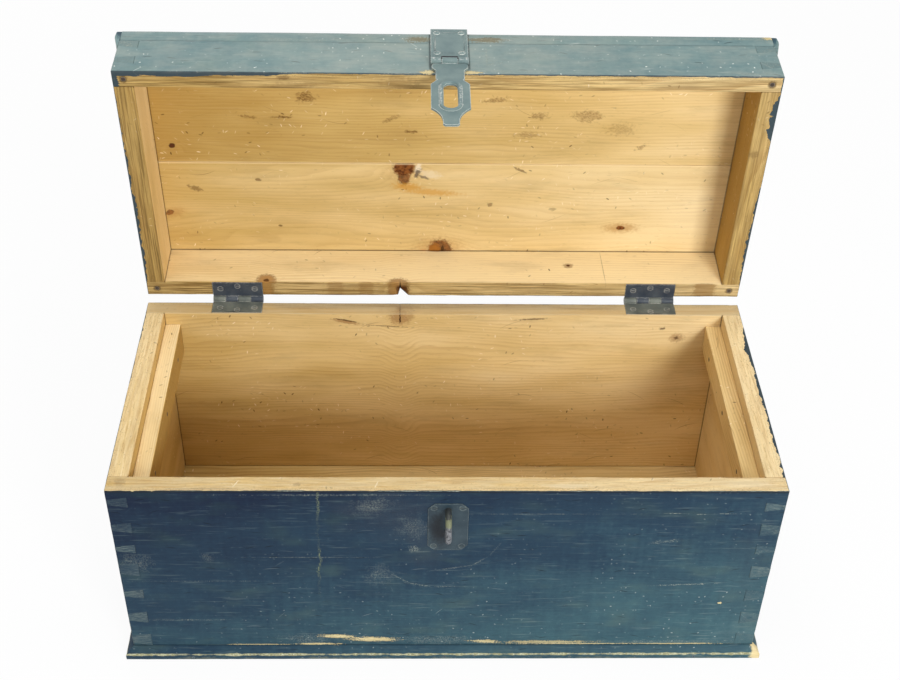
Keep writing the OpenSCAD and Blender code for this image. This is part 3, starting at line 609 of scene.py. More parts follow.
def metal_material(name, paint_low, paint_high, share, bright=(196, 196, 188), rust=0.3, extra=None):
    """Steel under old paint or grime, bright where its edges are rubbed.
    Extra gets places in mm with the lid open, as at rest."""
    t = Tree(bpy.data.materials.new(name))
    at = t.scaled(t.node("TexCoord", out=3), MM)
    fine = t.wander(at, 2.2, 4.0)
    broad = t.wander(at, 14, 3.0, (3, 3, 1))
    grain = t.wander(at, 0.6, 2.0)
    soft = t.node("Bevel", {"Radius": 1.3 * MM}, samples=6)
    plain = t.node("NewGeometry", out=1)
    bend = t.node("VectorMath", {0: soft, 1: plain}, operation="DOT_PRODUCT", out=1)
    edge = (1.0 - bend + fine * 0.02 + broad * 0.015).over(0.008, 0.09) * (broad + fine * 0.4).over(-1.1, 0.3)
    rub = (fine * 0.6 + broad * 0.6).over(0.9, 1.5)
    steel = edge.high(rub * 0.6) * share
    paint = t.mix(broad.over(-1, 1), paint_low, paint_high)
    paint = t.mix(fine.over(0.4, 1.2) * 0.4, paint, (146, 156, 148))
    paint = t.mix(fine.over(-0.4, -1.4) * 0.5, paint, (30, 38, 44))
    paint = t.mix(broad.over(0.5, 1.4) * rust, paint, (120, 96, 66))
    base = t.mix(steel, paint, bright)
    base = t.mix(grain.over(0.3, 1.2) * 0.12, base, (40, 44, 48))
    if extra:
        base = extra(t, base, at, fine)
    rough = fine * 0.08 + 0.45 - steel * 0.05
    return t.finish(base, rough, fine * 0.05 + grain * 0.02, 0.7, Metallic=steel * 0.4, Specular_IOR_Level=0.25)


def seen_white(t):
    """1 for rays that have to meet white: the camera's, and those in reflections and through glass."""
    camera_ray, glossy, through = t.several("LightPath", ("Is Camera Ray", "Is Glossy Ray", "Is Transmission Ray"))
    return camera_ray.high(glossy).high(through)


def floor():
    t = Tree(bpy.data.materials.new("floor_paper"))
    tone = t.noise(t.scaled(t.node("TexCoord", out=3), 1 / 3), 3.0)
    plain = t.node("BsdfDiffuse", {0: t.mix(tone, (238, 238, 238), (244, 244, 244))})
    glow = t.node("Emission", {0: WHITE, 1: 1.0})
    t.node("OutputMaterial", {0: t.node("MixShader", {0: seen_white(t) * FLOOR_WHITE, 1: plain, 2: glow})})
    obj = mesh_object("floor", [(-9, -9, 0), (9, -9, 0), (9, 9, 0), (-9, 9, 0)], [(0, 1, 2, 3)])
    obj.data.materials.append(t.owner)


def world():
    """An even pale room, white to the camera and in reflections."""
    t = Tree(bpy.data.worlds.new("studio"))
    bpy.context.scene.world = t.owner
    room, white = (t.node("Background", {0: WHITE, 1: strength}) for strength in (WORLD_LIGHT, 1.0))
    t.node("OutputWorld", {0: t.node("MixShader", {0: seen_white(t), 1: room, 2: white})})


camera()
world()
floor()
soft_box("key", (1.35, -2.8, 1.5), (0, 0, 0.3), (1.0, 1.0), 78)
soft_box("top", (-0.1, -0.3, 3.0), (0, 0, 0.3), (2.0, 1.8), 36)
soft_box("back", (-1.0, 2.8, 1.3), (0, 0, 0.25), (1.6, 1.2), 22)


# ---- The case ------------------------------------------------------------------------

def ramp_light(a, b, axis, low, high):
    """How pale the wood is: from a at low to b at high along an axis."""
    def light(t, x, y, z):
        place = {"x": x, "y": y, "z": z}[axis]
        return t.node("MapRange", {0: place, 1: low, 2: high, 3: a, 4: b})
    return light


# The case's paint tone: darker at the top and the left, paler at the bottom and the right. The gradient is painted
# light, for the floor's bounce below and the light from the right.
def case_tone_and_painted_light(t, x, y, z):
    return (x * (0.22 / 680) + 0.11) + (z * (-0.34 / 256) + 0.34)


case_wear = [  # x, z, half length, half height, turn, strength: pale rubbed places on the front
    (-76, 235, 15, 9, 10, 0.5), (-36, 204, 12, 14, 8, 0.32), (-35, 171, 4, 4, 0, 1), (-70, 131, 12, 11, 20, 0.38),
    (-47, 124, 11, 0.8, -38, 0.9), (-28, 115, 11, 0.8, -14, 0.9), (-4, 112, 13, 0.8, 2, 0.8),
    (8, 142, 17, 0.7, 12, 0.7), (34, 152, 14, 0.7, 40, 0.7), (48, 168, 9, 0.7, 60, 0.6),
    (-144, 158, 48, 0.5, 0, 0.7), (-265, 121, 60, 0.5, 0, 0.5), (96, 223, 72, 0.45, 0, 0.5),
    (225, 182, 11, 2.2, 8, 0.7), (250, 115, 27, 1.0, 3, 1), (-278, 58, 38, 0.9, 0, 0.6), (-247, 158, 5, 6, 0, 0.3),
    (-11, 23, 36, 6, 0, 0.5), (-150, 24, 20, 8, 0, 0.5), (-322, 150, 14, 10, 0, 0.32), (-110, 250, 70, 1.0, 0, 0.7),
    (227, 224, 10, 0.6, 0, 1), (257, 222.5, 5, 0.5, 0, 1), (285, 223.5, 10, 0.5, 0, 1), (240, 19, 60, 3, 0, 0.6)]
case_bare = [(-117, 30, 17, 2.6, -2, 1), (-80, 25, 24, 3.4, -2, 1), (-140, 17, 24, 1.4, 0, 1),
             (-203, 16.2, 32, 0.7, 0, 0.9), (43, 21, 14, 2.4, -3, 0.9), (110, 19.5, 50, 2.4, 0, 0.8),
             (150, 16.6, 70, 0.8, 0, 0.9), (252, 16.4, 52, 0.8, 0, 0.9), (294, 85, 2.0, 1.4, 0, 1)]


def front_tint(t, skin, x, y, z):
    """A dull patch by the staple, the yellow run of specks down the front, and a dark band just above the moulding.
    """
    grit = t.noise(t.join(x * 0.8, z * 0.8, y * 0.2), 4.0, 0.7)
    slow = t.noise(t.join(x * 0.02, z * 0.05, y * 0.1), 3.0)
    dull = t.spots(t.join(x, z), [(-62, 222, 44, 30, 0, 1), (-24, 186, 20, 34, 0, 1), (320, 130, 22, 90, 0, .5)],
                   (slow - 0.5) * 5.0, 0.6, 0.5)
    skin = t.mix(dull * grit.over(0.3, 0.6) * 0.32, skin, (66, 70, 76))
    run = (x + 130.5 + (z - 240.0) * -0.022 + (slow - 0.5) * 9.0).abs().over(2.0, 0.4) * z.over(84, 110)
    strong = z.over(214, 226).high(z.over(122, 134) * z.over(176, 166))
    share = run * grit.over(0.51, 0.60) * (strong * 0.7 + 0.2) * y.over(-140, -149)
    skin = t.mix(share, skin, (146, 154, 112))
    skin = t.mix(z.over(252.2, 254.4) * grit.over(0.3, 0.5) * 0.7, skin, (30, 28, 28))
    return t.mix(z.over(17.5, 14.5) * 0.6, skin, (26, 34, 42))


def pin_tint(t, skin, x, y, z):
    """The pins' end grain took the paint badly and reads paler on the front and back."""
    ends = y.abs().over(148.6, 149.5)
    scratch = t.noise(t.join(x * 0.15, z * 0.9, y * 0.3), 4.0, 0.65).over(0.40, 0.66)
    each = t.noise(t.join(x * 0.01, z * 0.03, y * 0.1), 1.0).over(0.36, 0.62)
    return t.mix(ends * (scratch * 0.6 + 0.12) * (each * 0.7 + 0.3), skin, (112, 124, 120))


inside_light = ramp_light(0.30, 0.72, "x", -300, 300)
rim_light = ramp_light(0.42, 0.80, "x", -340, 340)


# The inside's wood grows paler to the right and near the rim; the darker wood deeper in the well is painted shade.
def case_inside(t, x, y, z):
    return inside_light(t, x, y, z) + z.over(170, 256) * 0.1 + z.over(254.5, 255.5) * x.over(-250, -320) * 0.25


def rim_streaks(t, base, own, x, y, z):
    """Brown and pale streaks and dark specks on the case's rim."""
    rim = z.over(254.5, 255.6)
    streak = t.noise(t.scaled(own, (26, 1.6, 1.6), (3, 1, 2)), 4.0, 0.7)
    speck = t.noise(t.scaled(own, (2.6, 1.2, 1.2), (1, 4, 6)), 3.0, 0.7)
    base = t.mix(streak.over(0.5, 0.66) * rim * 0.5, base, (166, 120, 62))
    base = t.mix(streak.over(0.47, 0.35) * rim * 0.4, base, (250, 232, 192))
    return t.mix(speck.over(0.6, 0.68) * rim * 0.7, base, (112, 86, 54))


def front_wood(t, base, own, x, y, z):
    """Nicks and a small knot on the front board's rim."""
    ragged = t.wander(own, 2.0, 3.0)
    flat = t.join(x, y)
    dark = t.spots(flat, [(-151, -141, 4, 2, 0, .8), (-326, -138, 5, 6, 30, .6), (-240, -147, 30, 1.5, 0, .6),
                          (80, -146, 60, 1.2, 0, .4)], ragged, 0.5, 0.7)
    pale = t.spots(flat, [(-212, -141, 5, 0.6, 62, 1), (-72, -141, 4, 0.6, 70, 1), (120, -143, 20, 3, 0, .5),
                          (300, -140, 24, 5, 0, .4)], ragged, 0.5, 0.4)
    base = rim_streaks(t, base, own, x, y, z)
    base = t.mix(dark * 0.7, base, (110, 82, 48))
    return t.mix(pale * 0.9, base, (250, 236, 204))


def back_wood(t, base, own, x, y, z):
    """The knot and the crack in the back board under the lid's notch, and the grime along the rear of its rim."""
    ragged = t.wander(own, 2.5, 3.0)
    inner = t.join(x, z)
    knot = t.spots(inner, [(-51, 250, 12, 9, 0, .8), (-112, 244, 15, 2.4, -12, .8), (-40, 252, 5, 5, 0, .6),
                           (270, 222, 8, 6, 0, .7)], ragged, 0.5, 0.5)
    base = t.mix(knot * 0.7, base, (136, 84, 38))
    crack = (x + 51.0 + ragged * 0.8).abs().over(1.1, 0.3) * z.over(240, 246)
    gouge = t.spots(inner, [(-112, 246, 13, 0.9, -12, 1), (-65, 238, 22, 0.8, -4, .7), (100, 249, 16, 1.2, 4, .8),
                            (270, 222, 2.4, 2, 0, 1), (252, 236, 3, 1.6, 0, .9)], ragged, 0.5, 0.7)
    base = t.mix(crack.high(gouge * 0.8), base, (66, 40, 22))
    base = t.mix(z.over(254.6, 255.6) * 0.32, base, (138, 100, 54))
    stain = (y + ragged * 1.6).over(137, 142) * z.over(254, 255.5) * x.over(-205, -180) * x.over(215, 190)
    return t.mix(stain * 0.55, base, (132, 112, 88))


front_pine = piece_material("front_board_wood", False, rim_light, case_tone_and_painted_light, wood=front_wood, seed=1.0)
front_paint = piece_material("front_board_paint", False, rim_light, case_tone_and_painted_light, worn=case_wear, bare=case_bare,
                             tint=front_tint, seed=1.0, outside=True)


def back_shade(t, x, y, z):
    return case_tone_and_painted_light(t, x, y, z) * 0.5 + 0.15


back_paint = piece_material("back_board_paint", False, case_inside, back_shade, wood=back_wood, seed=2.0, rings=5.4,
                            grain=0.32, knots=[(-51, 139, 12, 9, 2.5)])


def end_shade(t, x, y, z):
    return case_tone_and_painted_light(t, x, y, z) * 0.8 + 0.08


def end_lap(t, x, y, z, fine, coarse):
    """Paint left along the outer edges of the ends' rims, more of it on the right."""
    right = x.over(300, 330) * ((y + 10.0).abs().over(150, 60) * 3.6 + 0.4 + fine * 2.4 + coarse * 3.6)
    return right + x.over(-300, -330) * (fine * 1.2 + coarse * 1.2 + 0.5)


end_paint = piece_material("end_board_paint", False, case_inside, end_shade, wood=rim_streaks, tint=pin_tint,
                           extra_lap=end_lap, seed=3.0, film=((228, 208, 166), 0.3), grain=0.4)

LEFT, RIGHT = pin_list(WANDER_LEFT), pin_list(WANDER_RIGHT)
GAP = 0.08  # between the pins and their sockets


def long_board_cuts(y0, y1, more):
    return pin_cuts(-1, LEFT, END_T, y0, y1, GAP) + pin_cuts(1, RIGHT, END_T, y0, y1, GAP) + more


def seat_cuts(z0, z1):
    """Where the hinge leaves are let in."""
    gap = 0.3
    cuts = []
    for s in (-1, 1):
        a, b = s * HINGE_X - HINGE_L / 2 - gap, s * HINGE_X + HINGE_L / 2 + gap
        cuts.append(prism([(a, z0), (b, z0), (b, z1), (a, z1)], HALF_D - HINGE_REACH - gap, HALF_D + PAST))
    return cuts


PLATE_W, PLATE_H, PLATE_Z = 20.7, 34.2, 204.0  # the staple's plate: half its width and height, and its middle
plate_seat = prism([(x * PLATE_W, PLATE_Z + z * PLATE_H) for x, z in
                    ((-1, -0.79), (-0.66, -1), (0.66, -1), (1, -0.79), (1, 0.79), (0.66, 1), (-0.66, 1), (-1, 0.79))],
                   -HALF_D - PAST, PAST - HALF_D)

board("front_board", (-HALF_W, -HALF_D, BOTTOM_T), (HALF_W, -INNER_Y, RIM), "case", "xzy", front_pine,
      1, cuts=long_board_cuts(-HALF_D - PAST, PAST - INNER_Y, [plate_seat]), radius=1.0, front=front_paint)
board("back_board", (-HALF_W, INNER_Y, BOTTOM_T), (HALF_W, HALF_D, RIM), "case", "xzy", back_paint,
      2, cuts=long_board_cuts(INNER_Y - PAST, HALF_D + PAST, seat_cuts(RIM - LEAF_T, RIM + 3)), radius=0.9,
      dents=[((-51, 140, RIM), (2.2, 16, 6), (0, 0, -1.6))])
for side, name, pins, seed in ((-1, "left", LEFT, 3), (1, "right", RIGHT, 4)):
    low, high = sorted((side * HALF_W, side * (HALF_W - END_T)))
    rooms = [c for y0, y1 in ((-HALF_D - PAST, -INNER_Y), (INNER_Y, HALF_D + PAST))
             for c in tail_cuts(side, pins, END_T, BOTTOM_T - 4, RIM + 4, y0, y1)]
    board(name + "_end_board", (low, -HALF_D, BOTTOM_T), (high, HALF_D, RIM), "case", "yzx", end_paint,
          seed, cuts=rooms, radius=0.9)

bottom_pine = bare_material("bottom_pine", ramp_light(0.2, 0.5, "x", -320, 320), seed=5.0, rings=5.5)
for name, y0, y1, seed in (("front", -HALF_D, BOTTOM_JOINT - 0.2, 5), ("back", BOTTOM_JOINT + 0.2, HALF_D, 6)):
    board("bottom_board_" + name, (-HALF_W, y0, 0), (HALF_W, y1, BOTTOM_T), "case", "xyz", bottom_pine,
          seed, step=9)


def runner_light(t, x, y, z):
    """Paler on top than on the faces towards the well."""
    return ramp_light(0.9, 0.55, "x", -320, 320)(t, x, y, z) - x.abs().over(302.5, 301.6) * x.over(0, -200)


runner_pine = bare_material("runner_pine", runner_light, seed=6.0, rings=3.0)
for side, name, tall, seed in ((-1, "left", 40, 7), (1, "right", 33, 8)):
    low, high = sorted((side * (HALF_W - END_T), side * (HALF_W - END_T - RUNNER_T)))
    board(name + "_tray_runner", (low, -INNER_Y, RUNNER_TOP - tall), (high, INNER_Y, RUNNER_TOP), "case",
          "yxz", runner_pine, seed, radius=0.9)


def moulding_paint():
    """The base moulding: dark paint on the slope, rubbed pale along its arris."""
    t, at, own, x, y, z = wooden("moulding_paint")
    out = (x.abs() - HALF_W).high(y.abs() - HALF_D)
    base, _ = pine(t, own, at, (), 0.55)
    skin, rise, rough = old_paint(t, own, at, case_tone_and_painted_light(t, x, y, z) * 0.7 + 0.04)
    fine = t.wander(at, 8, 3.0)
    coarse = t.wander(at, 50, 2.0)
    ragged = t.wander(at, 1.8, 3.0)
    line = (z - 8.0).abs() + (8.0 - out) * 0.6
    rub = (line + fine * 1.1 + ragged * 0.5 + coarse * 0.7).over(2.0, 0.7)
    skin = t.mix(rub * 0.9, skin, t.mix(ragged.over(-0.5, 0.8), (150, 146, 108), (214, 212, 178)))
    low_rub = (fine * 0.5 + coarse * 0.5 + 0.6 - z * 0.1).over(0.2, 0.9)
    skin = t.mix(low_rub * 0.7, skin, (122, 126, 108))
    corner = (x - 338.0 + fine * 5.0).over(-2, 3) * (fine * 4.0 - y - 148.0).over(0, 2)
    chip = (fine * 0.6 + ragged * 0.5 - line * 0.5).over(0.35, 0.7).high(corner)
    top = (z - 13.9 + fine * 0.4).over(0.0, 0.8) * (fine + coarse).over(0.8, 1.3)
    chip = chip.high(top * 0.7)
    full = t.mix(chip * 0.9, skin, t.mix(0.7, base, (226, 210, 162)))
    return t.finish(full, rough, rise, 0.9, Specular_IOR_Level=0.08)


mould = moulding_paint()
section = [(0, 0, 0), (7.4, 0, .3), (8, .6, 1), (8, 4, .3), (8, 6.6, .6), (7.85, 7.6, 1.4), (7.45, 8.55, 1.4),
           (6.6, 9.6, .6), (3.6, 12.6, .3), (1.6, 14.6, .6), (1.0, 15, .5), (0, 15, 0)]
for node, turn, half, face, seed in (("back", 0, HALF_W, HALF_D, 9), ("left", 1, HALF_D, HALF_W, 10),
                                     ("front", 2, HALF_W, HALF_D, 11), ("right", 3, HALF_D, HALF_W, 12)):
    strip("base_moulding_" + node, [(o + face, z, k) for o, z, k in section], lambda o, h=half, f=face: h + o - f,
          "case", mould, seed, turn, grain="xyz" if turn % 2 == 0 else "yxz")


# ---- The lid, drawn closed -----------------------------------------------------------

def lid_tone_and_painted_light(t, x, y, z):
    """The lid's front faces up with the lid open and is painted paler, as painted light and sheen from above; the
    rest of it is darker.
    """
    return y.over(-147.6, -149.0) * (z - LID_RIM).over(0.5, 1.6) * 0.45 + 0.34


def panel_light(t, x, y, z):
    """Pale at the right and at the back, deep honey at the left."""
    across = t.node("MapRange", {0: x, 1: -320, 2: 320, 3: 0.10, 4: 0.84})
    return across - 0.15 + y.over(-4, 14) * (x.over(0, -300) * 0.2 + 0.22)


panel_grey = [  # x, y, half length, half width, turn, strength: stains on the underside of the lid's boards
    (-152, -82, 9, 6, 0, .8), (-175, -106, 12, 3, 0, .5), (150, -59, 12, 6, 10, .5), (88, -35, 13, 4, 0, .35),
    (189, -43, 14, 7, 0, .3), (-215, -56, 8, 2, 10, .6), (-178, -56, 9, 1.6, 0, .8), (-39, -38, 6, 2, 0, .8),
    (-60, -55, 8, 2.4, -25, .5), (52, -80, 12, 3, -10, .6), (158, -62, 10, 4, 20, .5), (100, -60, 9, 4, 0, .5),
    (215, -20, 6, 2.4, -30, .6), (-282, 41, 7, 3, 20, .7), (-210, 28, 3, 2, 0, .8), (-189, 95, 2, 1.6, 0, .9),
    (51, 62, 3, 2.6, 0, .7), (123, 68, 4, 2, 0, .5), (83, 13, 7, 1.6, 25, .8)]


def front_panel_wood(t, base, own, x, y, z):
    """Stains and a pale knot on the underside of the front board."""
    flat = t.join(x, y)
    ragged = t.wander(own, 3.5, 3.0)
    speckle = t.noise(t.scaled(own, (2.4, 1.4, 1.4)), 3.0, 0.7).over(0.42, 0.58)
    stain = t.spots(flat, [g for g in panel_grey if g[1] < 5], ragged, 0.5, 0.9) * (speckle * 0.6 + 0.5)
    base = t.mix(stain, base, (108, 72, 32))
    base = t.mix(t.spot(flat, (-301, -17), (3.4, 3), 0, ragged), base, (88, 52, 28))
    return t.mix((y - LID_JOINT + 1.0).over(-0.8, 0.4) * 0.5, base, (246, 220, 168))


def back_panel_wood(t, base, own, x, y, z):
    """Knots with their bark and glow, and nicks, on the underside of the back board."""
    flat = t.join(x, y)
    ragged = t.wander(own, 3.5, 3.0)
    base = t.mix(t.spots(flat, [g for g in panel_grey if g[1] > 5], ragged, 0.4, 0.9) * 0.8, base, (98, 64, 30))
    halo = t.spots(flat, [(-47, 14, 18, 15, 0, .4), (-5, 130, 25, 16, 0, .8), (204, 95, 17, 6, 0, 1),
                          (-310, 76, 12, 6, -20, .7)], ragged, 0.7, 0.5)
    base = t.mix(halo * 0.6, base, (178, 128, 66))
    knots = [(-47, 11, 12, 12, 0, 1), (-47, 23, 7, 12, 0, .9), (-5, 131, 14, 17, 0, .9),
             (-314, 76, 5, 3.6, -30, .8), (204, 95, 5, 3, 0, 1)]
    knot = t.spots(flat, knots, ragged, 0.2, 0.25)
    grit = t.noise(t.scaled(own, 3.4), 3.0, 0.55)
    base = t.mix(knot, base, t.mix(grit.over(0.28, 0.72), (78, 42, 22), (144, 88, 42)))
    base = t.mix(t.spot(flat, (-11, 132), (7, 11), 0, ragged) * 0.8, base, (172, 110, 42))
    base = t.mix(t.spot(flat, (-2.5, 132), (1.8, 11), 6, ragged) * 0.8, base, (66, 44, 20))
    base = t.mix(t.spot(flat, (-24, 136), (5, 7), 0, ragged, 0.6) * 0.6, base, (220, 160, 100))
    pale = t.spots(flat, [(-31, 12, 3, 8, 10, 1), (-18, 20, 12, 5, 10, .5)], ragged, 0.5, 0.6)
    base = t.mix(pale * 0.7, base, (240, 228, 204))
    bark = t.spots(flat, [(-32, 19, 2.6, 6, 15, 1), (-25, 24, 6, 1.8, 20, .8)], ragged, 0.5, 0.8)
    base = t.mix(bark * 0.85, base, (92, 74, 58))
    glow = t.spots(flat, [(-42, 38, 15, 5, 8, 1), (-16, 45, 28, 4, 4, .9)], ragged, 0.6, 0.6)
    base = t.mix(glow * 0.65, base, (206, 146, 46))
    return t.mix((y - LID_JOINT - 1.6).over(0.8, -0.4) * 0.4, base, (250, 226, 178))


panel_knots = [(-46, 19, 17, 13, 2.4), (-5, 128, 20, 14, 2.6), (-301, -17, 9, 6, 2.0), (-314, 76, 9, 6, 1.5),
               (204, 95, 12, 6, 2.0), (60, 60, 60, 12, 1.2), (-120, 100, 80, 14, 1.0)]


def lid_front_tint(t, skin, x, y, z):
    """Grime in the joint under the board, a painted shadow hugging the hasp, and warm dull patches."""
    slow = t.noise(t.join(x * 0.03, z * 0.06, y * 0.1), 4.0, 0.6)
    front = y.over(-146, -149)
    skin = t.mix((slow.over(0.3, 0.8) * 0.4 + x.abs().over(230, 60) * 0.2) * front, skin, (168, 172, 162))
    line = (z - LID_BOARD + 0.2).abs().over(1.1, 0.4) * (slow.over(0.3, 0.6) * 0.6 + 0.3)
    # A painted shadow: a dark outline on the lid's front along the hasp's edges.
    hasp = (x.abs() - 19.8).abs().over(1.7, 0.6) * z.over(262, 268) * 0.6
    return t.mix(line.high(hasp) * front, skin, (46, 56, 60))


top_front = piece_material("lid_board_front_paint", True, panel_light, lid_tone_and_painted_light, knots=panel_knots[2:3],
                           wood=front_panel_wood, seed=8.0, rings=4.2, grain=0.26,
                           bare=[(-31, 322, 13, 4.0, 0, .55), (38, 321.5, 18, 3.6, 0, .55), (339, 331, 8, 5, 0, 1)],
                           worn=[(-34, 322, 20, 6, 0, .9), (40, 322, 26, 6, 0, .9), (300, 327.4, 36, 1.4, 0, 1),
                                 (330, 333, 20, 2, 0, .7), (40, 326, 90, 1.4, 0, .6), (-150, 319, 40, 1.6, 0, .7)],
                           tint=lid_front_tint, frayed=0.6)
top_back = piece_material("lid_board_back_paint", True, panel_light, lid_tone_and_painted_light, wood=back_panel_wood, seed=9.0,
                          knots=panel_knots[:2] + panel_knots[3:], rings=6.0, grain=0.2)


def worn_top(p, r):
    """The long front arris of the lid is worn to a broad slope."""
    r = r.copy()
    front = p[:, 1] < -75
    uneven = 1 + 0.12 * lumps(p * [1, 0, 0], 45, 77)
    r[front, 2] = 8.0 * uneven[front]
    r[front, 1] = 2.6 * uneven[front]
    return r


board("lid_board_front", (-HALF_W, -HALF_D, LID_BOARD), (HALF_W, LID_JOINT - 0.15, LID_TOP), "lid",
      "xyz", top_front, 13, worn=worn_top)
board("lid_board_back", (-HALF_W, LID_JOINT + 0.15, LID_BOARD), (HALF_W, HALF_D, LID_TOP), "lid",
      "xyz", top_back, 14)


def front_rail_lap(t, x, y, z, fine, coarse):
    """Paint left on the front rail's rim, broad at the left."""
    broad = x.over(-160, -186) * (y * -1.0).over(120, 130)
    torn = (t.noise(t.join(x * 0.05, y * 0.5, 0.0), 4.0, 0.65) - 0.5) * 12.0
    return broad * (torn + coarse * 1.4 + x.over(-150, -330) * 3.0 + 2.4) + (fine * 0.9 + coarse * 0.7 + 1.2)


def rail_wood(t, base, own, x, y, z):
    """Grime, olive streaks and smudged knots along the rims."""
    ragged = t.wander(own, 3.0, 3.0)
    rim = (z - LID_RIM).over(3.0, 0.4)
    flat = t.join(x, y)
    olive = t.noise(t.scaled(own, (70, 1.8, 1.8), (4, 4, 4)), 4.0, 0.65).over(0.40, 0.64) * rim
    base = t.mix(olive * (x * -0.0005 + 0.74), base, (100, 76, 38))
    smudge = t.spots(flat, [(-167, -144, 7, 2.5, 0, 1), (-160, -133, 20, 5, 0, .5), (-50, -138, 16, 7, 0, .6),
                            (324, -53, 5, 4, 0, .8)], ragged, 0.5, 0.6) * rim
    base = t.mix(smudge * 0.62, base, (88, 62, 40))
    corners = [(sx * 328.5, sy * 140.5, 4.2, 4.2, 0, 1) for sx in (-1, 1) for sy in (-1, 1)]
    nail = t.spots(flat, corners, ragged, 0.3, 0.3) * rim
    return t.mix(nail * 0.8, base, (62, 46, 36))


def back_rail_wood(t, base, own, x, y, z):
    """The back rail: two knots at its rim, one of them fallen out, and marks on its inner face."""
    base = rail_wood(t, base, own, x, y, z)
    ragged = t.wander(own, 2.5, 3.0, (2, 2, 2))
    inner = t.join(x, z)
    knot = t.spots(inner, [(-204, 262, 11, 9, 0, 1), (-53, 257, 12, 8.5, 0, 1), (144, 289, 6, 4, 0, .8),
                           (-90, 257, 8, 2, 0, .6), (-125, 257, 9, 2, 0, .5), (300, 257, 12, 2, 0, .8)],
                   ragged, 0.25, 0.3)
    pale = t.spots(inner, [(-204, 262, 7.5, 6, 0, .8), (-55, 256, 6, 5, 0, .4)], ragged, 0.3, 0.3)
    hole = t.spot(inner, (-49, 262), (6.5, 17), 8, ragged, 0.3, 0.3) * y.over(134, 139)
    base = t.mix(knot * 0.7, base, (130, 88, 40))
    base = t.mix(pale * 0.6, base, (192, 140, 72))
    core = t.spots(inner, [(-204, 261, 3, 2.6, 0, .9), (144, 289, 2, 1.6, 0, 1), (184, 285, 0.5, 26, 2, .4)],
                   ragged, 0.4, 0.4)
    return t.mix(hole.high(core), base, (84, 50, 24))


def rail_light(t, x, y, z):
    return t.node("MapRange", {0: x, 1: -340, 2: 340, 3: 0.86, 4: 1.2}) - (z - LID_RIM).over(3.0, 0.5) * 0.5


RAIL_FILM = ((150, 122, 70), 0.3)  # the grime on the long rails' rims: its colour and strength
front_rail = piece_material("lid_front_rail_paint", True, rail_light, lid_tone_and_painted_light, wood=rail_wood,
                            extra_lap=front_rail_lap, seed=10.0, tint=lid_front_tint, film=RAIL_FILM, frayed=0.6,
                            bare=[(-22, 260, 7, 3.2, 0, 1), (22, 260, 10, 2.8, 0, 1)],
                            worn=[(320, 304, 1.2, 6, 25, .9), (310, 262, 24, 1.2, 0, .8), (-322, 276, 4, 3, 0, .6),
                                  (43, 276, 10, 1.0, 20, 1), (45, 281, 8, 0.8, -30, 1), (38, 290, 1.4, 16, 0, .8),
                                  (60, 262, 60, 2, 0, .5)])
back_rail = piece_material("lid_back_rail_paint", True, rail_light, lid_tone_and_painted_light, wood=back_rail_wood, seed=11.0,
                           knots=[(-51, 140, 14, 10, 1.0), (-208, 128, 8, 6, 0.8)], film=RAIL_FILM, grain=0.32)


def side_rail_lap(t, x, y, z, fine, coarse):
    """Paint left on the end rails' rims: broad chips on the right, a thin line on the left."""
    right = x.over(300, 330) * ((y + 98.0).abs().over(34, 16) * 6.5 + (y - 60.0).abs().over(90, 40) * 2.6)
    left = x.over(-300, -330) * ((y - 30.0).abs().over(120, 30) * 2.2 + 0.8)
    return (right + left) * (fine * 0.5 + 1.0) + fine * 1.2 + coarse * 1.2


# The right end rail's wood is painted much darker than the left's, as painted shade: its inner face looks away from
# the key lamp on the right. On the rims this is turned round, the right rim a little paler than the left.
def end_rail_tone_and_painted_shade(t, x, y, z):
    return x.over(-200, 200) * -0.66 + 0.64 + (z - LID_RIM).over(3.0, 0.5) * (x.over(-200, 200) * 0.82 - 0.48)


side_rail = piece_material("lid_end_rail_paint", True, end_rail_tone_and_painted_shade, lid_tone_and_painted_light, wood=rail_wood,
                           extra_lap=side_rail_lap, tint=pin_tint, seed=12.0, film=((146, 118, 68), 0.45),
                           worn=[(-330, 308, 11, 6, 0, 1), (330, 303, 11, 5, 0, .6), (328, 279, 11, 6, 0, .4)])

notch = loft([(y, [(x0, LID_RIM - 2), (x1, LID_RIM - 2), (-51.2, LID_RIM + up)])  # left by a fallen knot
              for y, x0, x1, up in ((129, -52.0, -50.2, 4), (140, -52.8, -49.4, 8), (152, -54.5, -38.5, 14.5))])
LID_PINS = [(LID_RIM + 21, 14.0), (LID_BOARD, 28.0)]
for node, y0, y1, mat, seed, more, dents in (
        ("lid_front_rail", -HALF_D, -LID_INNER_Y, front_rail, 15, [], []),
        ("lid_back_rail", LID_INNER_Y, HALF_D, back_rail, 16, seat_cuts(LID_RIM - 3, LID_RIM + LEAF_T) + [notch],
         [((-50, 141, LID_RIM), (12, 26, 7), (0, 0, 1.8))])):
    sockets = [c for s in (-1, 1) for c in pin_cuts(s, LID_PINS, LID_END_T, y0 - PAST, y1 + PAST, GAP)]
    board(node, (-HALF_W, y0, LID_RIM), (HALF_W, y1, LID_BOARD - 0.1), "lid", "xzy", mat, seed,
          cuts=sockets + more, radius=0.9, dents=dents, step=4)
for side, name, seed in ((-1, "left", 17), (1, "right", 18)):
    low, high = sorted((side * HALF_W, side * (HALF_W - LID_END_T)))
    rooms = [c for y0, y1 in ((-HALF_D - PAST, -LID_INNER_Y), (LID_INNER_Y, HALF_D + PAST))
             for c in tail_cuts(side, LID_PINS, LID_END_T, LID_RIM - 4, LID_BOARD + 10, y0, y1)[:2]]
    board(f"lid_{name}_rail", (low, -HALF_D, LID_RIM), (high, HALF_D, LID_BOARD - 0.1), "lid", "yzx",
          side_rail, seed, cuts=rooms, radius=0.9, step=4)

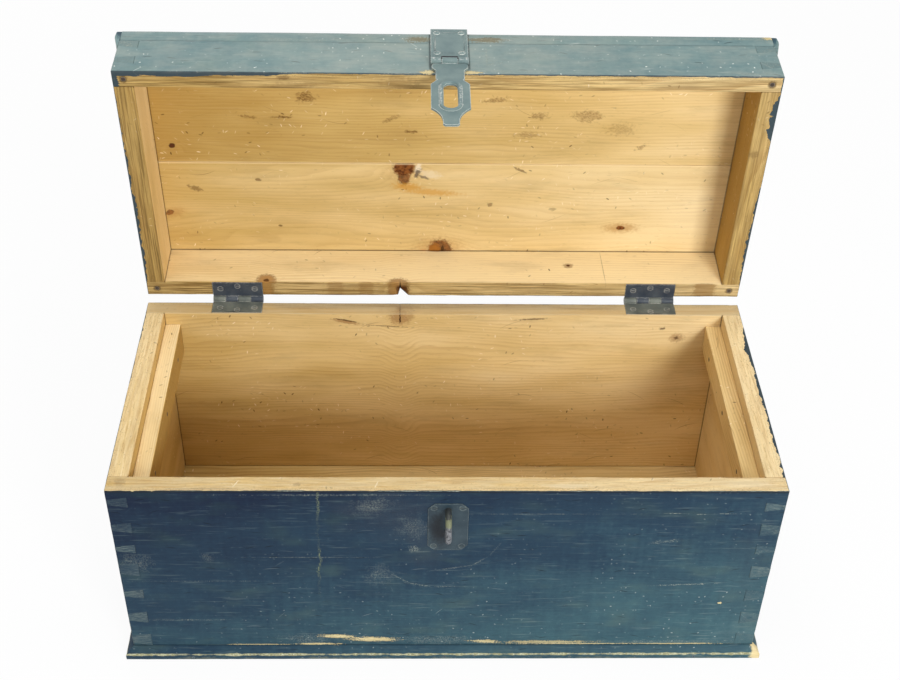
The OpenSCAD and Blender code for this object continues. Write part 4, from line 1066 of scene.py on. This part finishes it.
cleat = piece_material("lid_cleat_paint", True, end_rail_tone_and_painted_shade, lid_tone_and_painted_light, seed=13.0, frayed=0.4)
cleat_section = [(0, 299.8, 0), (.5, 300.6, .3), (5.0, 318.2, .3), (5.4, 320.2, 1), (5.5, 322, .4), (5.5, 333.6, .4),
                 (5.1, 334.5, 1.2), (4.2, 334.8, .5), (0, 334.8, 0)]


def cleat_end(p):
    """The cleats' front ends are worn down with the lid's front arris."""
    high = np.clip((p[:, 2] - 326.5) / 8.3, 0, 1)
    front = np.clip((-144 - p[:, 1]) / 6, 0, 1)
    p[:, 1] += 2.6 * high * front


for turn, name, seed in ((1, "left", 19), (3, "right", 20)):
    strip(f"lid_{name}_cleat", [(o + HALF_W, z, k) for o, z, k in cleat_section], lambda o: HALF_D,
          "lid", cleat, seed, turn, grain="yzx", worn=cleat_end)


# ---- Ironwork ------------------------------------------------------------------------

def hasp_slit_shadow_and_rub(t, base, at, fine):
    """A painted shadow in the slit over the middle knuckle and in the gaps beside it, and bright rubbed paint around
    the knuckles and the slot.
    """
    x, y, z = t.split(at)
    # the height it would have with the lid closed
    up = (y - HINGE_Y) * math.sin(LID_OPEN) + (z - HINGE_Z) * math.cos(LID_OPEN) + HINGE_Z
    ends = (up - 276.5).abs().over(5.0, 2.5) * (x.abs() - 13.5).abs().over(6.0, 3.0)
    ring = (x.abs() - 10.4).abs().over(2.4, 1.2) * (up - 213.0).abs().over(20, 14)
    base = t.mix(ends.high(ring) * fine.over(-0.2, 0.6) * 0.85, base, (208, 210, 204))
    # Painted shadow: a black slit above the middle knuckle, and dark lines in the gaps at its sides.
    slit = (up - 284.0).abs().over(2.3, 1.8) * x.abs().over(8.6, 8.0)
    side = (x.abs() - 8.3).abs().over(0.8, 0.4) * (up - 279.0).abs().over(6.0, 5.5)
    return t.mix(slit.high(side), base, (14, 16, 20))


def wire_wear(t, base, at, fine):
    """The staple: dark and rusty at its top, bright below where the hasp and padlock rubbed it."""
    z = t.split(at)[2] + fine * 1.5
    base = t.mix(z.over(228, 220) * 0.8, base, (128, 130, 134))
    base = t.mix(fine.over(-0.2, 0.5) * 0.85, base, (42, 46, 52))
    band = (z - 227.0).abs().over(3.2, 2.0)
    return t.mix(band * 0.6, base, (136, 140, 106))


def plate_staple_shadow(t, base, at, fine):
    """A painted shadow of the staple on the plate, to the staple's left."""
    x, y, z = t.split(at)
    return t.mix(t.spot(t.join(x, z), (-9, 200), (10, 24), 8, fine, 0.6, 0.4) * 0.75, base, (14, 18, 26))


# The hinge leaves are one steel. The copy for the case leaves and their screws is painted paler, as painted light,
# because the rim top they lie on faces up; the lid leaves' copy stays dark on its front-facing side.
hinge_steel = metal_material("hinge_steel_dark", (48, 56, 68), (80, 86, 92), 0.8, bright=(190, 190, 184))
case_leaf_steel_lit = metal_material("hinge_steel_rubbed", (84, 90, 86), (122, 126, 116), 0.8, bright=(196, 194, 184))
# The hasp's paint is as pale as the lid's front: that paleness is painted light, for the light and sheen the
# up-facing hasp catches with the lid open.
hasp_steel = metal_material("hasp_steel_painted", (100, 120, 121), (120, 138, 135), 0.9, bright=(218, 222, 214),
                            rust=0.08, extra=hasp_slit_shadow_and_rub)
plate_steel = metal_material("plate_steel_painted", (36, 52, 62), (56, 72, 80), 0.5, bright=(140, 150, 146),
                             rust=0.08, extra=plate_staple_shadow)
wire_steel = metal_material("staple_steel_rusty", (44, 48, 48), (70, 72, 66), 0.7, extra=wire_wear)
iron = metal_material("nail_iron_dark", (54, 44, 38), (84, 68, 54), 0.3, rust=0.7)
painted_iron = metal_material("nail_iron_painted", (44, 62, 74), (66, 86, 94), 0.3, rust=0.1)

finishes = {
    hinge_steel: ["left_hinge_lid_leaf", "right_hinge_lid_leaf", "left_hinge_pin", "right_hinge_pin",
                  "hinge_lid_screws"],
    case_leaf_steel_lit: ["left_hinge_case_leaf", "right_hinge_case_leaf", "hinge_case_screws"],
    hasp_steel: ["hasp_fixed_leaf", "hasp_leaf_screws", "hasp_pin", "hasp_swing_plate"],
    plate_steel: ["staple_plate", "staple_plate_screws"],
    wire_steel: ["staple"],
    iron: ["bottom_nails", "runner_nails", "lid_corner_nails"],
    painted_iron: ["base_moulding_brads", "lid_board_nails", "lid_cleat_brads"],
}
# How far the ironwork's arrises are rounded, in millimetres
rounded = {"hasp_fixed_leaf": 0.5, "hasp_swing_plate": 0.5, "staple_plate": 0.4, "left_hinge_case_leaf": 0.35,
           "right_hinge_case_leaf": 0.35, "left_hinge_lid_leaf": 0.35, "right_hinge_lid_leaf": 0.35}
for material, names in finishes.items():
    for name in names:
        obj = frame["nodes"][name]
        for place in obj.material_slots:
            place.material = material
        if name in rounded:
            weld = obj.modifiers.new("weld", "WELD")
            weld.merge_threshold = 0.01 * MM
            bevel = obj.modifiers.new("bevel", "BEVEL")
            bevel.width, bevel.segments, bevel.limit_method = rounded[name] * MM, 2, "ANGLE"
            bevel.angle_limit = math.radians(40)

bpy.context.scene.view_settings.view_transform = "Standard"
